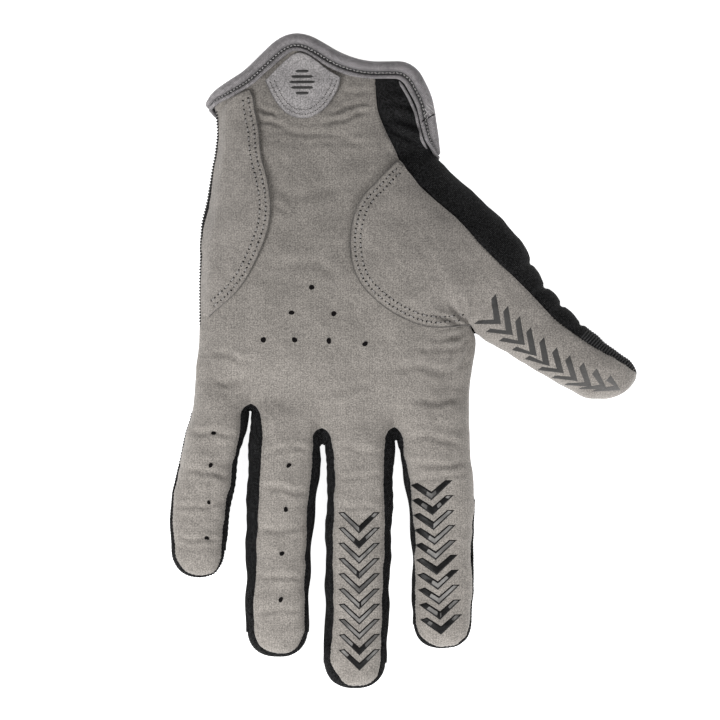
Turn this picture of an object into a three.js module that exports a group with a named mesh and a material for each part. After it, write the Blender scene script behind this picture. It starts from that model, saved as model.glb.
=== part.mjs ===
// Full-finger sport glove, left hand, lying palm up on a table.
// Millimetres, +Z up. Fingers point to -Y, the thumb to +X, the cuff to +Y.
import * as THREE from 'three';

// ---------------------------------------------------------------- driving sizes
const SQUARE = 0.36;        // mm per square of the plan grid used by the tables below
const PLAN_X0 = 404;        // plan column that lies on x = 0
const PLAN_Y0 = 361.5;      // plan row that lies on y = 0 (rows count from cuff to fingertips)
const SEAM_Z = 6.5;         // height of the side seams above the table
const SUEDE = 1.2;          // thickness of the palm suede
const STRETCH = 1.1;        // thickness of the stretch fabric
const SIDE_STRIP = 1.0;     // thickness of the strips between the fingers
const PATCH = 1.0;          // thickness of the sewn-on patches
const GAP = 0.3;            // air left between neighbouring pieces
const PATCH_RISE = 1.5;     // outer face of a patch above the face it is sewn to
const LIP_RISE = 0.38;      // how far the back lifts off the table at the cuff, as a part of SEAM_Z
const BLEND = 4;            // how sharply palm, thumb and fingers run into each other

// ---------------------------------------------------------------- small tools
const table = (names, rows) => rows.map(r => Object.fromEntries(names.split(' ').map((k, i) => [k, r[i]])));
const clamp = (x, a, b) => Math.min(b, Math.max(a, x));
const ease = x => { const t = clamp(x, 0, 1); return t * t * (3 - 2 * t); };
const mix = (a, b, t) => a + (b - a) * t;

// value read from a table, without overshoot between its rows
function track(rows, key, value) {
  const x = rows.map(r => r[key]), y = rows.map(r => r[value]), n = x.length;
  const d = [], m = [];
  for (let i = 0; i < n - 1; i++) d.push((y[i + 1] - y[i]) / (x[i + 1] - x[i]));
  for (let i = 0; i < n; i++) {
    if (i === 0) m.push(d[0]);
    else if (i === n - 1) m.push(d[n - 2]);
    else m.push(d[i - 1] * d[i] <= 0 ? 0 : 2 * d[i - 1] * d[i] / (d[i - 1] + d[i]));
  }
  return q => {
    const c = clamp(q, x[0], x[n - 1]);
    let i = 0;
    while (i < n - 2 && c > x[i + 1]) i++;
    const h = x[i + 1] - x[i], t = (c - x[i]) / h, t2 = t * t, t3 = t2 * t;
    return (2 * t3 - 3 * t2 + 1) * y[i] + (t3 - 2 * t2 + t) * h * m[i]
      + (-2 * t3 + 3 * t2) * y[i + 1] + (t3 - t2) * h * m[i + 1];
  };
}

// smooth plan line through points [column, row]; t runs 0..1 by length
function line(points) {
  const s = [0], n = points.length;
  for (let i = 1; i < n; i++) s.push(s[i - 1] + Math.hypot(points[i][0] - points[i - 1][0], points[i][1] - points[i - 1][1]));
  const total = s[n - 1];
  const slope = (i, k) => {
    if (i === 0) return (points[1][k] - points[0][k]) / (s[1] - s[0]);
    if (i === n - 1) return (points[n - 1][k] - points[n - 2][k]) / (s[n - 1] - s[n - 2]);
    const a = (points[i][k] - points[i - 1][k]) / (s[i] - s[i - 1]), b = (points[i + 1][k] - points[i][k]) / (s[i + 1] - s[i]);
    const ha = s[i] - s[i - 1], hb = s[i + 1] - s[i];
    return (a * hb + b * ha) / (ha + hb);
  };
  const f = t => {
    const q = clamp(t, 0, 1) * total;
    let i = 0;
    while (i < n - 2 && q > s[i + 1]) i++;
    const h = s[i + 1] - s[i], u = (q - s[i]) / h, u2 = u * u, u3 = u2 * u;
    return [0, 1].map(k => (2 * u3 - 3 * u2 + 1) * points[i][k] + (u3 - 2 * u2 + u) * h * slope(i, k)
      + (-2 * u3 + 3 * u2) * points[i + 1][k] + (u3 - u2) * h * slope(i + 1, k));
  };
  f.at = i => s[i] / total;     // t of the i-th point

  return f;
}
const part = (f, a, b) => t => f(mix(a, b, t));          // stretch of a line
const flip = f => t => f(1 - t);
// line moved sideways in plan, to the right of its direction of travel when positive
const shifted = (f, offset) => t => {
  const by = offset(t);
  const a = f(Math.max(0, t - 0.01)), b = f(Math.min(1, t + 0.01)), p = f(t);
  const dx = b[0] - a[0], dy = b[1] - a[1], l = Math.hypot(dx, dy);
  return [p[0] - dy / l * by, p[1] + dx / l * by];
};
// plan patch between four lines: rows[v][u]
function patch(top, bottom, left, right, us, vs) {
  const a = top(0), b = top(1), c = bottom(0), d = bottom(1);
  return vs.map(v => {
    const L = left(v), R = right(v);
    return us.map(u => {
      const T = top(u), B = bottom(u);
      return [0, 1].map(k => (1 - v) * T[k] + v * B[k] + (1 - u) * L[k] + u * R[k]
        - ((1 - u) * (1 - v) * a[k] + u * (1 - v) * b[k] + (1 - u) * v * c[k] + u * v * d[k]));
    });
  });
}
const even = n => Array.from({ length: n + 1 }, (_, i) => i / n);
const crowdBoth = (n, k = 0.5) => even(n).map(t => mix(t, (1 - Math.cos(Math.PI * t)) / 2, k));
const crowdEnd = (n, k = 0.7) => even(n).map(t => mix(t, Math.sin(Math.PI * t / 2), k));
const crowdStart = (n, k = 0.7) => even(n).map(t => mix(t, 1 - Math.cos(Math.PI * t / 2), k));

// ---------------------------------------------------------------- plan tables (squares; heights in mm)
// body of the hand: outline and height of its crown above the side seam
const BODY_LEFT = table('row col', [
  [30, 211], [94, 211.5], [104, 213], [114, 215.8], [130, 217.5], [154, 215], [170, 212], [200, 207],
  [230, 201], [280, 200], [322, 200], [354, 197.5], [380, 195], [404, 193], [418, 190], [434, 185], [458, 180]]);
const BODY_RIGHT = table('row col', [
  [30, 480], [62, 470], [100, 458], [130, 444], [148, 435.5], [153, 434.5], [157, 437], [170, 449], [192, 469],
  [215, 480], [240, 486], [270, 487], [300, 483], [328, 477], [345, 475.5], [380, 470.5], [410, 469.5], [458, 471]]);
const BODY_CROWN = table('row height', [
  [30, 11], [60, 12], [100, 14], [150, 16.5], [220, 18.5], [280, 17.5], [340, 14.5], [380, 12], [420, 10], [460, 9]]);
// row at which the body of the hand ends and the fingers go on alone
const WEB = table('col row', [[185, 404], [251, 404], [322, 428], [394, 427], [475, 412]]);
// soft mounds and the hollow of the palm: centre, reach, share of the crown height
const MOUNDS = table('col row reachCol reachRow share', [
  [238, 190, 38, 80, 0.10], [318, 205, 44, 85, -0.13], [330, 355, 110, 26, 0.06], [395, 250, 40, 60, 0.06]]);

// fingers: outline per row, crown height above the side seam; the last row is where the tip starts to round
const FINGERS = {
  pinky: {
    tip: 577.5, rows: table('row left right crown', [
      [340, 199, 256, 9], [380, 195, 254, 9], [404, 193, 251, 8.8], [418, 190, 248.3, 8.6], [434, 185, 244, 8.4],
      [458, 180, 238, 8], [490, 173, 233, 7.4], [522, 170, 228, 6.6], [545, 171, 224.5, 6]])
  },
  ring: {
    tip: 657.5, rows: table('row left right crown', [
      [350, 254, 322, 10.5], [404, 251, 322.5, 10.3], [428, 250.5, 322, 10], [450, 249, 320, 9.8], [474, 248, 319, 9.5],
      [506, 247, 315, 9], [538, 246, 312, 8.5], [570, 246.5, 309.5, 7.9], [602, 246, 308.3, 7.2], [627, 247, 307.7, 6.6]])
  },
  middle: {
    tip: 688.5, rows: table('row left right crown', [
      [350, 325, 396, 10.8], [428, 322, 394.5, 10.3], [450, 325, 394, 10.1], [474, 328, 393, 9.8], [506, 327, 392, 9.4],
      [538, 326, 391, 8.9], [570, 326, 389.5, 8.4], [602, 325.7, 388.7, 7.9], [634, 325, 387.3, 7.3], [658, 324.5, 385.7, 6.8]])
  },
  index: {
    tip: 648.5, rows: table('row left right crown', [
      [350, 397, 475, 10.8], [380, 396.5, 470.5, 10.6], [427, 394.5, 469.7, 10.2], [450, 399.5, 470.2, 9.9], [474, 404, 472, 9.6],
      [506, 409, 474, 9.1], [538, 412, 473.5, 8.6], [570, 413, 473.8, 8], [602, 412.7, 472.3, 7.3], [620, 414, 471.6, 6.9]])
  },
};
const FINGER_ORDER = ['pinky', 'ring', 'middle', 'index'];
// palm suede edge, in squares inside the outline, on the sides that face a neighbour
const FRONT_INSET = {
  pinkyRight: table('row inset', [[404, 0], [417, 5.5], [439, 4.2], [467, 3], [498, 3], [526, 2.2], [545, 2]]),
  ringLeft: table('row inset', [[404, 0], [421, 10], [445, 13], [498, 12], [546, 9.5], [600, 7.5], [627, 5]]),
  ringRight: table('row inset', [[428, 0], [441, 6.3], [469, 5.4], [498, 5.8], [528, 4.6], [593, 3.8], [627, 3]]),
  middleLeft: table('row inset', [[428, 0], [447, 6.4], [478, 5.4], [523, 6.5], [604, 7], [645, 6.5], [658, 5]]),
  middleRight: table('row inset', [[427, 0], [447, 9], [482, 8], [523, 6.5], [564, 5.4], [604, 4.8], [645, 3.6], [658, 3]]),
  indexLeft: table('row inset', [[427, 0], [447, 3.4], [502, 3.2], [564, 2.8], [600, 2.4], [620, 2.2]]),
};
const BACK_INSET = 6.5;     // the same for the back, every finger

// thumb: its axis in plan and its outline across that axis
const THUMB_ROOT = [470, 262];
const THUMB_ANGLE = 36.6;   // degrees from the column direction towards the fingertips
const THUMB_TIP = 204.5;
const THUMB_TIP_SKEW = 13;  // the tip leans towards the black side
const THUMB = table('along low high crown', [
  [-125, -50, 66, 0], [-89, -54, 64.6, 4], [-72, -54, 61.4, 8], [-38, -54, 58.6, 13], [-5, -53, 55, 15], [24, -52, 48, 14.6],
  [44, -50.8, 39.5, 13.8], [60, -50.5, 31.3, 13], [77, -50, 26, 12.2], [100, -48.4, 20.9, 11.2], [130, -46, 17.2, 10.2],
  [145, -45, 17, 9.8], [160, -42.5, 16.4, 9.3]]);

// cut edges
const MOUTH_PALM = [[213, 103], [216, 98], [229, 87], [245, 76], [265, 58], [278.5, 46], [288, 40.7], [297, 39], [308.5, 41],
  [321, 47.5], [336.5, 57], [354, 64], [371.5, 67], [376, 67.2]];
const MOUTH_THUMB = [[376, 67.2], [392, 67], [404, 67.6], [413, 73], [421.5, 86], [428, 100], [431, 113.5], [433, 129], [434.3, 143], [434.5, 153]];
const MOUTH_BACK = [[213, 103], [218, 109], [228, 113.5], [250, 119], [290, 127], [330, 135], [370, 146], [400, 155]];
const MOUTH_BACK_THUMB = [[400, 155], [414, 159.5], [425, 160.5], [431.5, 158], [434.5, 153]];
const BLACK_SEAM = [[376, 67.2], [375.6, 82], [376, 98], [378, 113], [382, 124], [388, 138], [397, 156], [403, 168], [416, 182],
  [431, 197], [448, 212], [474, 238], [503, 267], [531, 295], [546, 311], [566, 327], [594, 345], [615, 357], [631, 366.5]];
const SEAM_AT_PATCH = 7;    // point of the seam line where the thumb patch begins
const UNDER_PATCH = [[397, 156], [404, 180], [414, 210], [424, 240], [434, 268], [446, 293], [459, 312], [471, 326], [475.5, 338], [475, 350],
  [470.5, 380], [469.5, 410]];
const PATCH_TOP = [[403, 168], [398, 163], [388, 171], [376, 184], [364, 196], [357, 208], [352, 224], [350, 244]];
const PATCH_SIDE = [[350, 244], [351, 257], [355, 273], [362, 286], [374, 299], [388, 310], [402, 318], [417, 324.5], [433, 327.5],
  [448, 327], [460, 325.5], [470.5, 325.5]];
const OUTLINE_BLACK = [[434.5, 153], [437, 157], [449, 170], [461, 181], [474, 192], [487, 204], [499, 215], [509, 227], [518, 238],
  [526, 250], [532, 262], [538, 274], [547, 287], [555, 296.5], [563, 305], [573, 316], [584, 325], [594, 332], [608, 344], [625, 357.5], [636, 368.5]];
const BACK_SEAM = [[400, 155], [409, 185], [422, 222], [437, 258], [453, 291], [467, 317], [475.5, 334], [475.2, 348], [470.5, 380], [469.5, 410]];
const HEEL_SEAM = [[250.5, 91], [254, 99], [255.5, 110], [258, 122], [260, 132], [261, 146], [263, 161], [267, 175], [270, 190], [271.5, 205],
  [270, 225], [264, 245], [257, 261], [248, 278], [236, 294], [223, 306], [210, 316.5]];
const TAB_LEFT = [[266, 83], [271, 94], [278, 106], [284.5, 113.5]];
const TAB_FOOT = [[284.5, 113.5], [290, 117], [297, 119.5], [304, 120.3], [311, 119.3], [318, 116]];
const TAB_RIGHT = [[341, 80], [340, 86], [335, 97], [326, 109.5], [318, 116]];
const TAB_TOP = [[266, 83], [274, 74], [284, 64], [293, 57], [300, 54.8], [308, 57.2], [316, 62.5], [328, 72], [341, 80]];

// ---------------------------------------------------------------- height of the two sides over the plan
const body = { left: track(BODY_LEFT, 'row', 'col'), right: track(BODY_RIGHT, 'row', 'col'), crown: track(BODY_CROWN, 'row', 'height') };
const webRow = track(WEB, 'col', 'row');
const lipRow = track([...MOUTH_BACK, ...MOUTH_BACK_THUMB.slice(1, 3), [440, 161]].map(p => ({ col: p[0], row: p[1] })), 'col', 'row');
const limbs = {};
for (const k of FINGER_ORDER) {
  const rows = FINGERS[k].rows, last = rows[rows.length - 1];
  limbs[k] = {
    left: track(rows, 'row', 'left'), right: track(rows, 'row', 'right'), crown: track(rows, 'row', 'crown'),
    bend: last.row, reach: FINGERS[k].tip - last.row, skew: 0, flat: 0.5, start: rows[0].row, power: 2.5
  };
}
limbs.thumb = {
  left: track(THUMB, 'along', 'low'), right: track(THUMB, 'along', 'high'), crown: track(THUMB, 'along', 'crown'),
  bend: 160, reach: THUMB_TIP - 160, skew: THUMB_TIP_SKEW, flat: 0.6, start: -200, power: 2.2
};
const CROSS_POWER = 2.3;
const thumbDir = [Math.cos(THUMB_ANGLE * Math.PI / 180), Math.sin(THUMB_ANGLE * Math.PI / 180)];
const toThumb = (c, r) => {
  const x = c - THUMB_ROOT[0], y = r - THUMB_ROOT[1];
  return [x * thumbDir[0] + y * thumbDir[1], x * thumbDir[1] - y * thumbDir[0]];
};
const fromThumb = (s, n) => [THUMB_ROOT[0] + s * thumbDir[0] + n * thumbDir[1], THUMB_ROOT[1] + s * thumbDir[1] - n * thumbDir[0]];
// how full a limb is at a plan point: 0 on its middle line, 1 on its outline
function fill(limb, s, n) {
  const q = Math.min(s, limb.bend), a = limb.left(q), b = limb.right(q);
  const t = Math.max(0, (s - limb.bend) / limb.reach);
  const mid = (a + b) / 2 + limb.skew * t * t, half = (b - a) / 2;
  return Math.pow(Math.abs(n - mid) / half, CROSS_POWER) + Math.pow(t, limb.power);
}
const each = (c, r) => FINGER_ORDER.map(k => [limbs[k], r, c]).concat([[limbs.thumb, ...toThumb(c, r)]]);
function crown(c, r) {
  let sum = 0;
  const a = body.left(r), b = body.right(r), u = Math.abs(c - (a + b) / 2) / ((b - a) / 2);
  const end = r - webRow(c), fade = Math.sqrt(1 - ease((end + 45) / 62));
  if (u < 1) {
    let share = 1;
    for (const m of MOUNDS) share += m.share * Math.exp(-Math.pow((c - m.col) / m.reachCol, 2) - Math.pow((r - m.row) / m.reachRow, 2));
    sum += Math.pow(body.crown(r) * Math.sqrt(1 - Math.pow(u, 2.6)) * fade * share, BLEND);
  }
  for (const [limb, s, n] of each(c, r)) {
    const f = fill(limb, s, n);
    if (f < 1 && s > limb.start) {
      const grow = limb === limbs.thumb ? 1 : ease((s - limb.start) / 70);
      sum += Math.pow(limb.crown(Math.min(s, limb.bend)) * Math.sqrt(1 - f) * grow, BLEND);
    }
  }
  return Math.pow(sum, 1 / BLEND);
}
function depth(c, r) {
  let sum = 0;
  const a = body.left(r), b = body.right(r), u = Math.abs(c - (a + b) / 2) / ((b - a) / 2);
  const round = (u, flat) => Math.sqrt(1 - Math.pow(clamp((u - flat) / (1 - flat), 0, 1), 2));
  const fade = Math.sqrt(1 - ease((r - webRow(c) + 30) / 52));
  sum += Math.pow(round(u, 0.75) * fade, 6);
  for (const [limb, s, n] of each(c, r)) {
    const f = fill(limb, s, n);
    if (f < 1 && s > limb.start) {
      const grow = limb === limbs.thumb ? ease((s + 110) / 60) : ease((s - limb.start) / 50);
      sum += Math.pow(round(Math.pow(f, 1 / CROSS_POWER), limb.flat) * grow, 6);
    }
  }
  const lip = Math.pow(Math.max(0, 1 - (r - lipRow(c)) / 42), 1.6);
  return SEAM_Z * Math.min(1, Math.pow(sum, 1 / 6)) * (1 - LIP_RISE * lip);
}
const top = (c, r) => SEAM_Z + crown(c, r);
const under = (c, r) => SEAM_Z - depth(c, r);
const place = (c, r, z) => new THREE.Vector3((c - PLAN_X0) * SQUARE, (PLAN_Y0 - r) * SQUARE, z);
const slopeNormal = (height, c, r, sign) => {
  const e = 0.4, gx = (height(c + e, r) - height(c - e, r)) / (2 * e * SQUARE), gy = -(height(c, r + e) - height(c, r - e)) / (2 * e * SQUARE);
  return new THREE.Vector3(-gx * sign, -gy * sign, sign).normalize();
};

// ---------------------------------------------------------------- sheets
// A sheet collects plan quads, keeps shared corners once, and becomes one closed wall.
class Sheet {
  constructor() { this.index = new Map(); this.points = []; this.quads = []; }
  // kind: 'top' | 'under' | 'seam' (on the outline) | 'rimTop' | 'rimUnder' (outline edge of an upper or lower sheet)
  corner(c, r, kind, lift = 0) {
    const key = `${c.toFixed(2)}|${r.toFixed(2)}|${kind === 'under' || kind === 'rimUnder' ? 'u' : 't'}`;
    if (!this.index.has(key)) {
      const z = kind === 'top' ? top(c, r) : kind === 'under' ? under(c, r)
        : kind === 'seam' ? SEAM_Z : kind === 'rimTop' ? SEAM_Z + GAP / 2 : SEAM_Z - GAP / 2;
      const p = place(c, r, z);
      if (lift) p.addScaledVector(slopeNormal(top, c, r, 1), lift);
      this.index.set(key, this.points.length);
      this.points.push({ p, flat: kind === 'seam' || kind.startsWith('rim') });
    }
    return this.index.get(key);
  }
  grid(rows) {   // rows of corner numbers, outside seen with rows going down and columns going right
    for (let i = 0; i + 1 < rows.length; i++)
      for (let j = 0; j + 1 < rows[i].length; j++)
        this.quads.push([rows[i][j], rows[i + 1][j], rows[i + 1][j + 1], rows[i][j + 1]]);
  }
  solid(thickness, mirrored = false) {
    const P = this.points.map(q => q.p), tri = [];
    for (const q of this.quads) {
      const [a, b, c, d] = mirrored ? [q[0], q[3], q[2], q[1]] : q;
      if (P[a].distanceTo(P[c]) < P[b].distanceTo(P[d])) tri.push([a, b, c], [a, c, d]);
      else tri.push([a, b, d], [b, c, d]);
    }
    const N = P.map(() => new THREE.Vector3());
    const e1 = new THREE.Vector3(), e2 = new THREE.Vector3();
    for (const [a, b, c] of tri) {
      for (const [i, j, k] of [[a, b, c], [b, c, a], [c, a, b]]) {
        e1.subVectors(P[j], P[i]); e2.subVectors(P[k], P[i]);
        const w = e1.angleTo(e2);
        N[i].addScaledVector(new THREE.Vector3().crossVectors(e1, e2).normalize(), w);
      }
    }
    N.forEach((n, i) => { if (this.points[i].flat) n.z = 0; n.normalize(); });
    return wall(P, tri, P.map((p, i) => p.clone().addScaledVector(N[i], -thickness)));
  }
}
// closed wall from an outer skin, its triangles and the matching inner skin
function wall(P, tri, Q) {
  const n = P.length, faces = [], open = new Map();
  for (const [a, b, c] of tri) {
    faces.push([a, b, c], [n + a, n + c, n + b]);
    for (const [i, j] of [[a, b], [b, c], [c, a]]) {
      if (open.has(`${j}_${i}`)) open.delete(`${j}_${i}`); else open.set(`${i}_${j}`, [i, j]);
    }
  }
  for (const [i, j] of open.values()) faces.push([i, n + i, n + j], [i, n + j, j]);
  const geometry = new THREE.BufferGeometry();
  geometry.setAttribute('position', new THREE.Float32BufferAttribute([...P, ...Q].flatMap(p => [p.x, p.y, p.z]), 3));
  geometry.setIndex(faces.flat());
  geometry.computeVertexNormals();
  return geometry;
}

// ---------------------------------------------------------------- finger outlines in plan
function fingerLines(key) {
  const limb = limbs[key];
  const tipPoint = angle => {          // degrees: -90 left side, 0 tip, 90 right side
    const a = angle * Math.PI / 180, side = Math.sin(a), out = Math.cos(a);
    const t = Math.pow(Math.abs(out), 2 / limb.power), w = Math.pow(Math.abs(side), 2 / CROSS_POWER) * Math.sign(side);
    const l = limb.left(limb.bend), r = limb.right(limb.bend);
    return [(l + r) / 2 + w * (r - l) / 2, limb.bend + t * limb.reach];
  };
  return { limb, tipPoint };
}
const TIP_CORNER = 52;      // degrees from the tip at which a side line ends
function fingerDomain(key, crotchLeft, crotchRight, insetLeft, insetRight) {
  const { limb, tipPoint } = fingerLines(key);
  const sideLine = (sign, start, inset) => {
    const pts = [start], end = tipPoint(sign * TIP_CORNER);
    const edge = r => (sign < 0 ? limb.left(r) : limb.right(r)) - sign * inset(r);
    for (const f of [0.08, 0.2, 0.36, 0.52, 0.68, 0.84, 1]) { const r = mix(start[1], limb.bend, f); pts.push([edge(r), r]); }
    pts.push(end);
    return line(pts);
  };
  return {
    left: sideLine(-1, crotchLeft, insetLeft), right: sideLine(1, crotchRight, insetRight),
    top: line([crotchLeft, [(crotchLeft[0] + crotchRight[0]) / 2, (crotchLeft[1] + crotchRight[1]) / 2], crotchRight]),
    tip: t => tipPoint(mix(-TIP_CORNER, TIP_CORNER, t)),
  };
}
const CROTCH = [[193, 404], [251, 404], [322, 428], [394.3, 427], [469.5, 410]];
const none = () => 0;
const frontInset = name => { const f = track(FRONT_INSET[name], 'row', 'inset'); return f; };
const backInset = (crotch, bend) => r => BACK_INSET * ease((r - crotch) / 26) * (1 - 0.3 * ease((r - bend + 40) / 40));

const COLS = 7;             // quads across one finger
const us = crowdBoth(COLS, 0.45);
const wholeUs = crowdBoth(COLS * 4, 0.55);

function handSheet(kind, mouth, leftLine, rightLine, domains, rowsHand, rowsFinger, rimRightFrom, atCuff) {
  const sheet = new Sheet();
  const rim = kind === 'top' ? 'rimTop' : 'rimUnder';
  const web = u => { const k = Math.min(3, Math.floor(u * 4)), t = u * 4 - k; return domains[k].top(t); };
  const webUs = []; for (let k = 0; k < 4; k++) for (let j = (k ? 1 : 0); j <= COLS; j++) webUs.push((k + us[j]) / 4);
  const vs = atCuff.concat(even(rowsHand - atCuff.length + 1).slice(1).map(t => mix(atCuff[atCuff.length - 1], 1, t)));
  const rows = vs.map(v => {
    const line_ = webUs.map((w, j) => mix(wholeUs[j], w, ease(v)));
    return patch(mouth, web, leftLine, rightLine, line_, [v])[0];
  });
  const last = rows.length - 1;
  rows[last] = webUs.map(w => web(w));
  const nums = rows.map((row, i) => row.map((p, j) => {
    const onRim = j === 0 || (j === row.length - 1 && p[1] >= rimRightFrom);
    return sheet.corner(p[0], p[1], onRim ? rim : kind);
  }));
  sheet.grid(nums);
  domains.forEach((d, k) => {
    const fv = crowdEnd(rowsFinger, 0.45);
    const g = patch(d.top, d.tip, d.left, d.right, us, fv);
    const n = g.map((row, i) => row.map((p, j) => {
      if (i === 0) return nums[last][k * COLS + j];
      const outer = (k === 0 && j === 0) || (k === 3 && j === COLS) || i === rowsFinger;
      return sheet.corner(p[0], p[1], outer ? rim : kind);
    }));
    sheet.grid(n);
  });
  return sheet;
}

// ---------------------------------------------------------------- palm panel
const bodyLeftLine = line(table('row col', [[103, 213], ...[108, 114, 121, 130, 142, 154, 170, 200, 230, 280, 322, 354, 380, 404].map(r => [r, body.left(r)])]).map(p => [p.col, p.row]));
const frontDomains = [
  fingerDomain('pinky', CROTCH[0], CROTCH[1], none, frontInset('pinkyRight')),
  fingerDomain('ring', CROTCH[1], CROTCH[2], frontInset('ringLeft'), frontInset('ringRight')),
  fingerDomain('middle', CROTCH[2], CROTCH[3], frontInset('middleLeft'), frontInset('middleRight')),
  fingerDomain('index', CROTCH[3], CROTCH[4], frontInset('indexLeft'), none)];
const palmRight = line([...BLACK_SEAM.slice(0, 6), ...UNDER_PATCH]);
const palmSheet = handSheet('top', line(MOUTH_PALM), bodyLeftLine, palmRight, frontDomains, 13, 9, 333, [0, 0.02, 0.045]);

// ---------------------------------------------------------------- back panel
const backDomains = FINGER_ORDER.map((k, i) => fingerDomain(k, CROTCH[i], CROTCH[i + 1],
  i === 0 ? none : backInset(CROTCH[i][1], limbs[k].bend), i === 3 ? none : backInset(CROTCH[i + 1][1], limbs[k].bend)));
const backSheet = handSheet('under', line(MOUTH_BACK), bodyLeftLine, line(BACK_SEAM), backDomains, 10, 9, 333, [0, 0.03, 0.06]);

// ---------------------------------------------------------------- thumb pieces
const seamLine = line(BLACK_SEAM);
const patchFrom = seamLine.at(SEAM_AT_PATCH);
const beyondPalm = track(UNDER_PATCH.slice(0, 9).map(p => ({ row: p[1], col: p[0] })), 'row', 'col');
const patchLift = (c, r) => PATCH_RISE * (1 - ease((c - beyondPalm(r) - 7) / 26));
const thumbEdge = (side, s) => fromThumb(s, limbs.thumb[side](s));
const thumbTip = angle => {
  const limb = limbs.thumb, a = angle * Math.PI / 180, side = Math.sin(a), out = Math.cos(a);
  const t = Math.pow(Math.abs(out), 2 / limb.power), w = Math.pow(Math.abs(side), 2 / CROSS_POWER) * Math.sign(side);
  const lo = limb.left(limb.bend), hi = limb.right(limb.bend);
  return fromThumb(limb.bend + t * limb.reach, (lo + hi) / 2 + limb.skew * t * t + w * (hi - lo) / 2);
};
const LOW_CORNER = -50, HIGH_CORNER = 22;
const lowLine = [48, 60, 80, 103, 125, 145, 160].map(s => thumbEdge('left', s)).concat([thumbTip(-75), thumbTip(LOW_CORNER)]);
const thumbPanelSide = line([...PATCH_SIDE, [474.8, 330.2], ...lowLine]);
const crotchT = thumbPanelSide.at(PATCH_SIDE.length);
const THUMB_ROWS = 20, THUMB_COLS = 8;
const thumbSheet = new Sheet();
{
  const vs = crowdEnd(THUMB_ROWS, 0.3), u = even(THUMB_COLS).map(t => mix(t, Math.sin(Math.PI * t / 2), 0.55));
  const tipEnd = t => thumbTip(mix(HIGH_CORNER, LOW_CORNER, t));
  const seamPart = part(seamLine, patchFrom, 1);
  const lastSeam = seamPart(1), arcStart = tipEnd(0);
  const tipLine = t => { const p = tipEnd(t), k = Math.pow(1 - t, 3); return [p[0] + (lastSeam[0] - arcStart[0]) * k, p[1] + (lastSeam[1] - arcStart[1]) * k]; };
  const g = patch(line(PATCH_TOP), tipLine, seamPart, thumbPanelSide, u, vs);
  thumbSheet.grid(g.map((row, i) => row.map((p, j) => {
    const rim = (j === THUMB_COLS && vs[i] > crotchT) || (i === THUMB_ROWS && j >= 2);
    const lift = patchLift(p[0], p[1]);
    return thumbSheet.corner(p[0], p[1], rim ? 'rimTop' : 'top', lift > 0.01 ? lift : 0);
  })).map(r => r.slice().reverse()));
}

const thumbBack = new Sheet();
const CUFF_ROWS = 7, BACK_ROWS = 17, STRIP_COLS = 5, UNDER_COLS = 6;
const SEAM_SLOT = 1.7;      // squares between the grey and the black edge
{
  const side = shifted(seamLine, t => -SEAM_SLOT - 1.2 * ease((t - 0.93) / 0.07)), outline = line(OUTLINE_BLACK);
  const turnAt = seamLine.at(6) + 0.008;     // the seam point level with the end of the mouth
  const mouth = line(MOUTH_THUMB), corner = mouth.at(2);
  const across = line([side(turnAt), outline(0)]);
  const stripU = even(STRIP_COLS).map(t => mix(t, Math.sin(Math.PI * t / 2), 0.6));
  const cuffV = even(CUFF_ROWS);
  const start = [side(0)[0], 67.2];
  const cuff = patch(t => t === 0 ? start : part(mouth, 0, corner)(t), across, t => t === 0 ? start : part(side, 0, turnAt)(t), part(mouth, corner, 1), stripU, cuffV);
  const low = [[401.3, 154.7], ...BACK_SEAM.slice(1, 6).map(p => [p[0] + 1.4, p[1]]), [477.4, 332.2], ...lowLine];
  const far = line(low);
  const vs = [0, 0.025].concat(even(BACK_ROWS - 1).slice(1).map(t => mix(0.025, 1, mix(t, Math.sin(Math.PI * t / 2), 0.2))));
  const strip = patch(across, line([side(1), outline(1)]), part(side, turnAt, 1), outline, stripU, vs);
  const tipArc = t => { const p = thumbTip(mix(HIGH_CORNER, LOW_CORNER, t)), a = thumbTip(HIGH_CORNER), o = outline(1), k = Math.pow(1 - t, 3);
    return [p[0] + (o[0] - a[0]) * k, p[1] + (o[1] - a[1]) * k]; };
  const back = line(MOUTH_BACK_THUMB.map((p, i) => i === 0 ? [401.3, 154.7] : p));
  const below = patch(flip(back), tipArc, outline, far, crowdBoth(UNDER_COLS, 0.7), vs);
  const farCrotch = far.at(6);
  const cuffRows = cuff.slice(0, -1).map(row => row.map(p => thumbBack.corner(p[0], p[1], 'top')));
  const rows = vs.map((v, i) => {
    const row = [];
    for (let j = 0; j < STRIP_COLS; j++) row.push(thumbBack.corner(strip[i][j][0], strip[i][j][1], 'top'));
    row.push(thumbBack.corner(strip[i][STRIP_COLS][0], strip[i][STRIP_COLS][1], 'seam'));
    for (let j = 1; j <= UNDER_COLS; j++) {
      const p = below[i][j], rim = (j === UNDER_COLS && v >= farCrotch - 0.001) || (i === BACK_ROWS && j >= 1);
      row.push(thumbBack.corner(p[0], p[1], rim ? 'rimUnder' : 'under'));
    }
    return row;
  });
  thumbBack.grid([...cuffRows, rows[0].slice(0, STRIP_COLS + 1)]);
  thumbBack.grid(rows);
}

// ---------------------------------------------------------------- sewn-on patches of the palm
function overlay(top_, bottom, left, right, nu, nv) {
  const s = new Sheet();
  s.grid(patch(top_, bottom, left, right, crowdStart(nu, 0.65), even(nv)).map(row => row.map(p => s.corner(p[0], p[1], 'top', PATCH_RISE))));
  return s;
}
const heelLeft = line([[222, 112.5], ...[124, 140, 154, 170, 200, 230, 255, 280, 300, 315].map(r => [body.left(r) + 2.6, r])]);
const heelSheet = overlay(line([[222, 112.5], [228, 105], [238, 97.5], [250.5, 91]]), line([heelLeft(1), HEEL_SEAM[HEEL_SEAM.length - 1]]), heelLeft, line(HEEL_SEAM), 7, 15);
const tabSheet = overlay(line(TAB_TOP), line(TAB_FOOT), line(TAB_LEFT), line(TAB_RIGHT), 7, 6);

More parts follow.
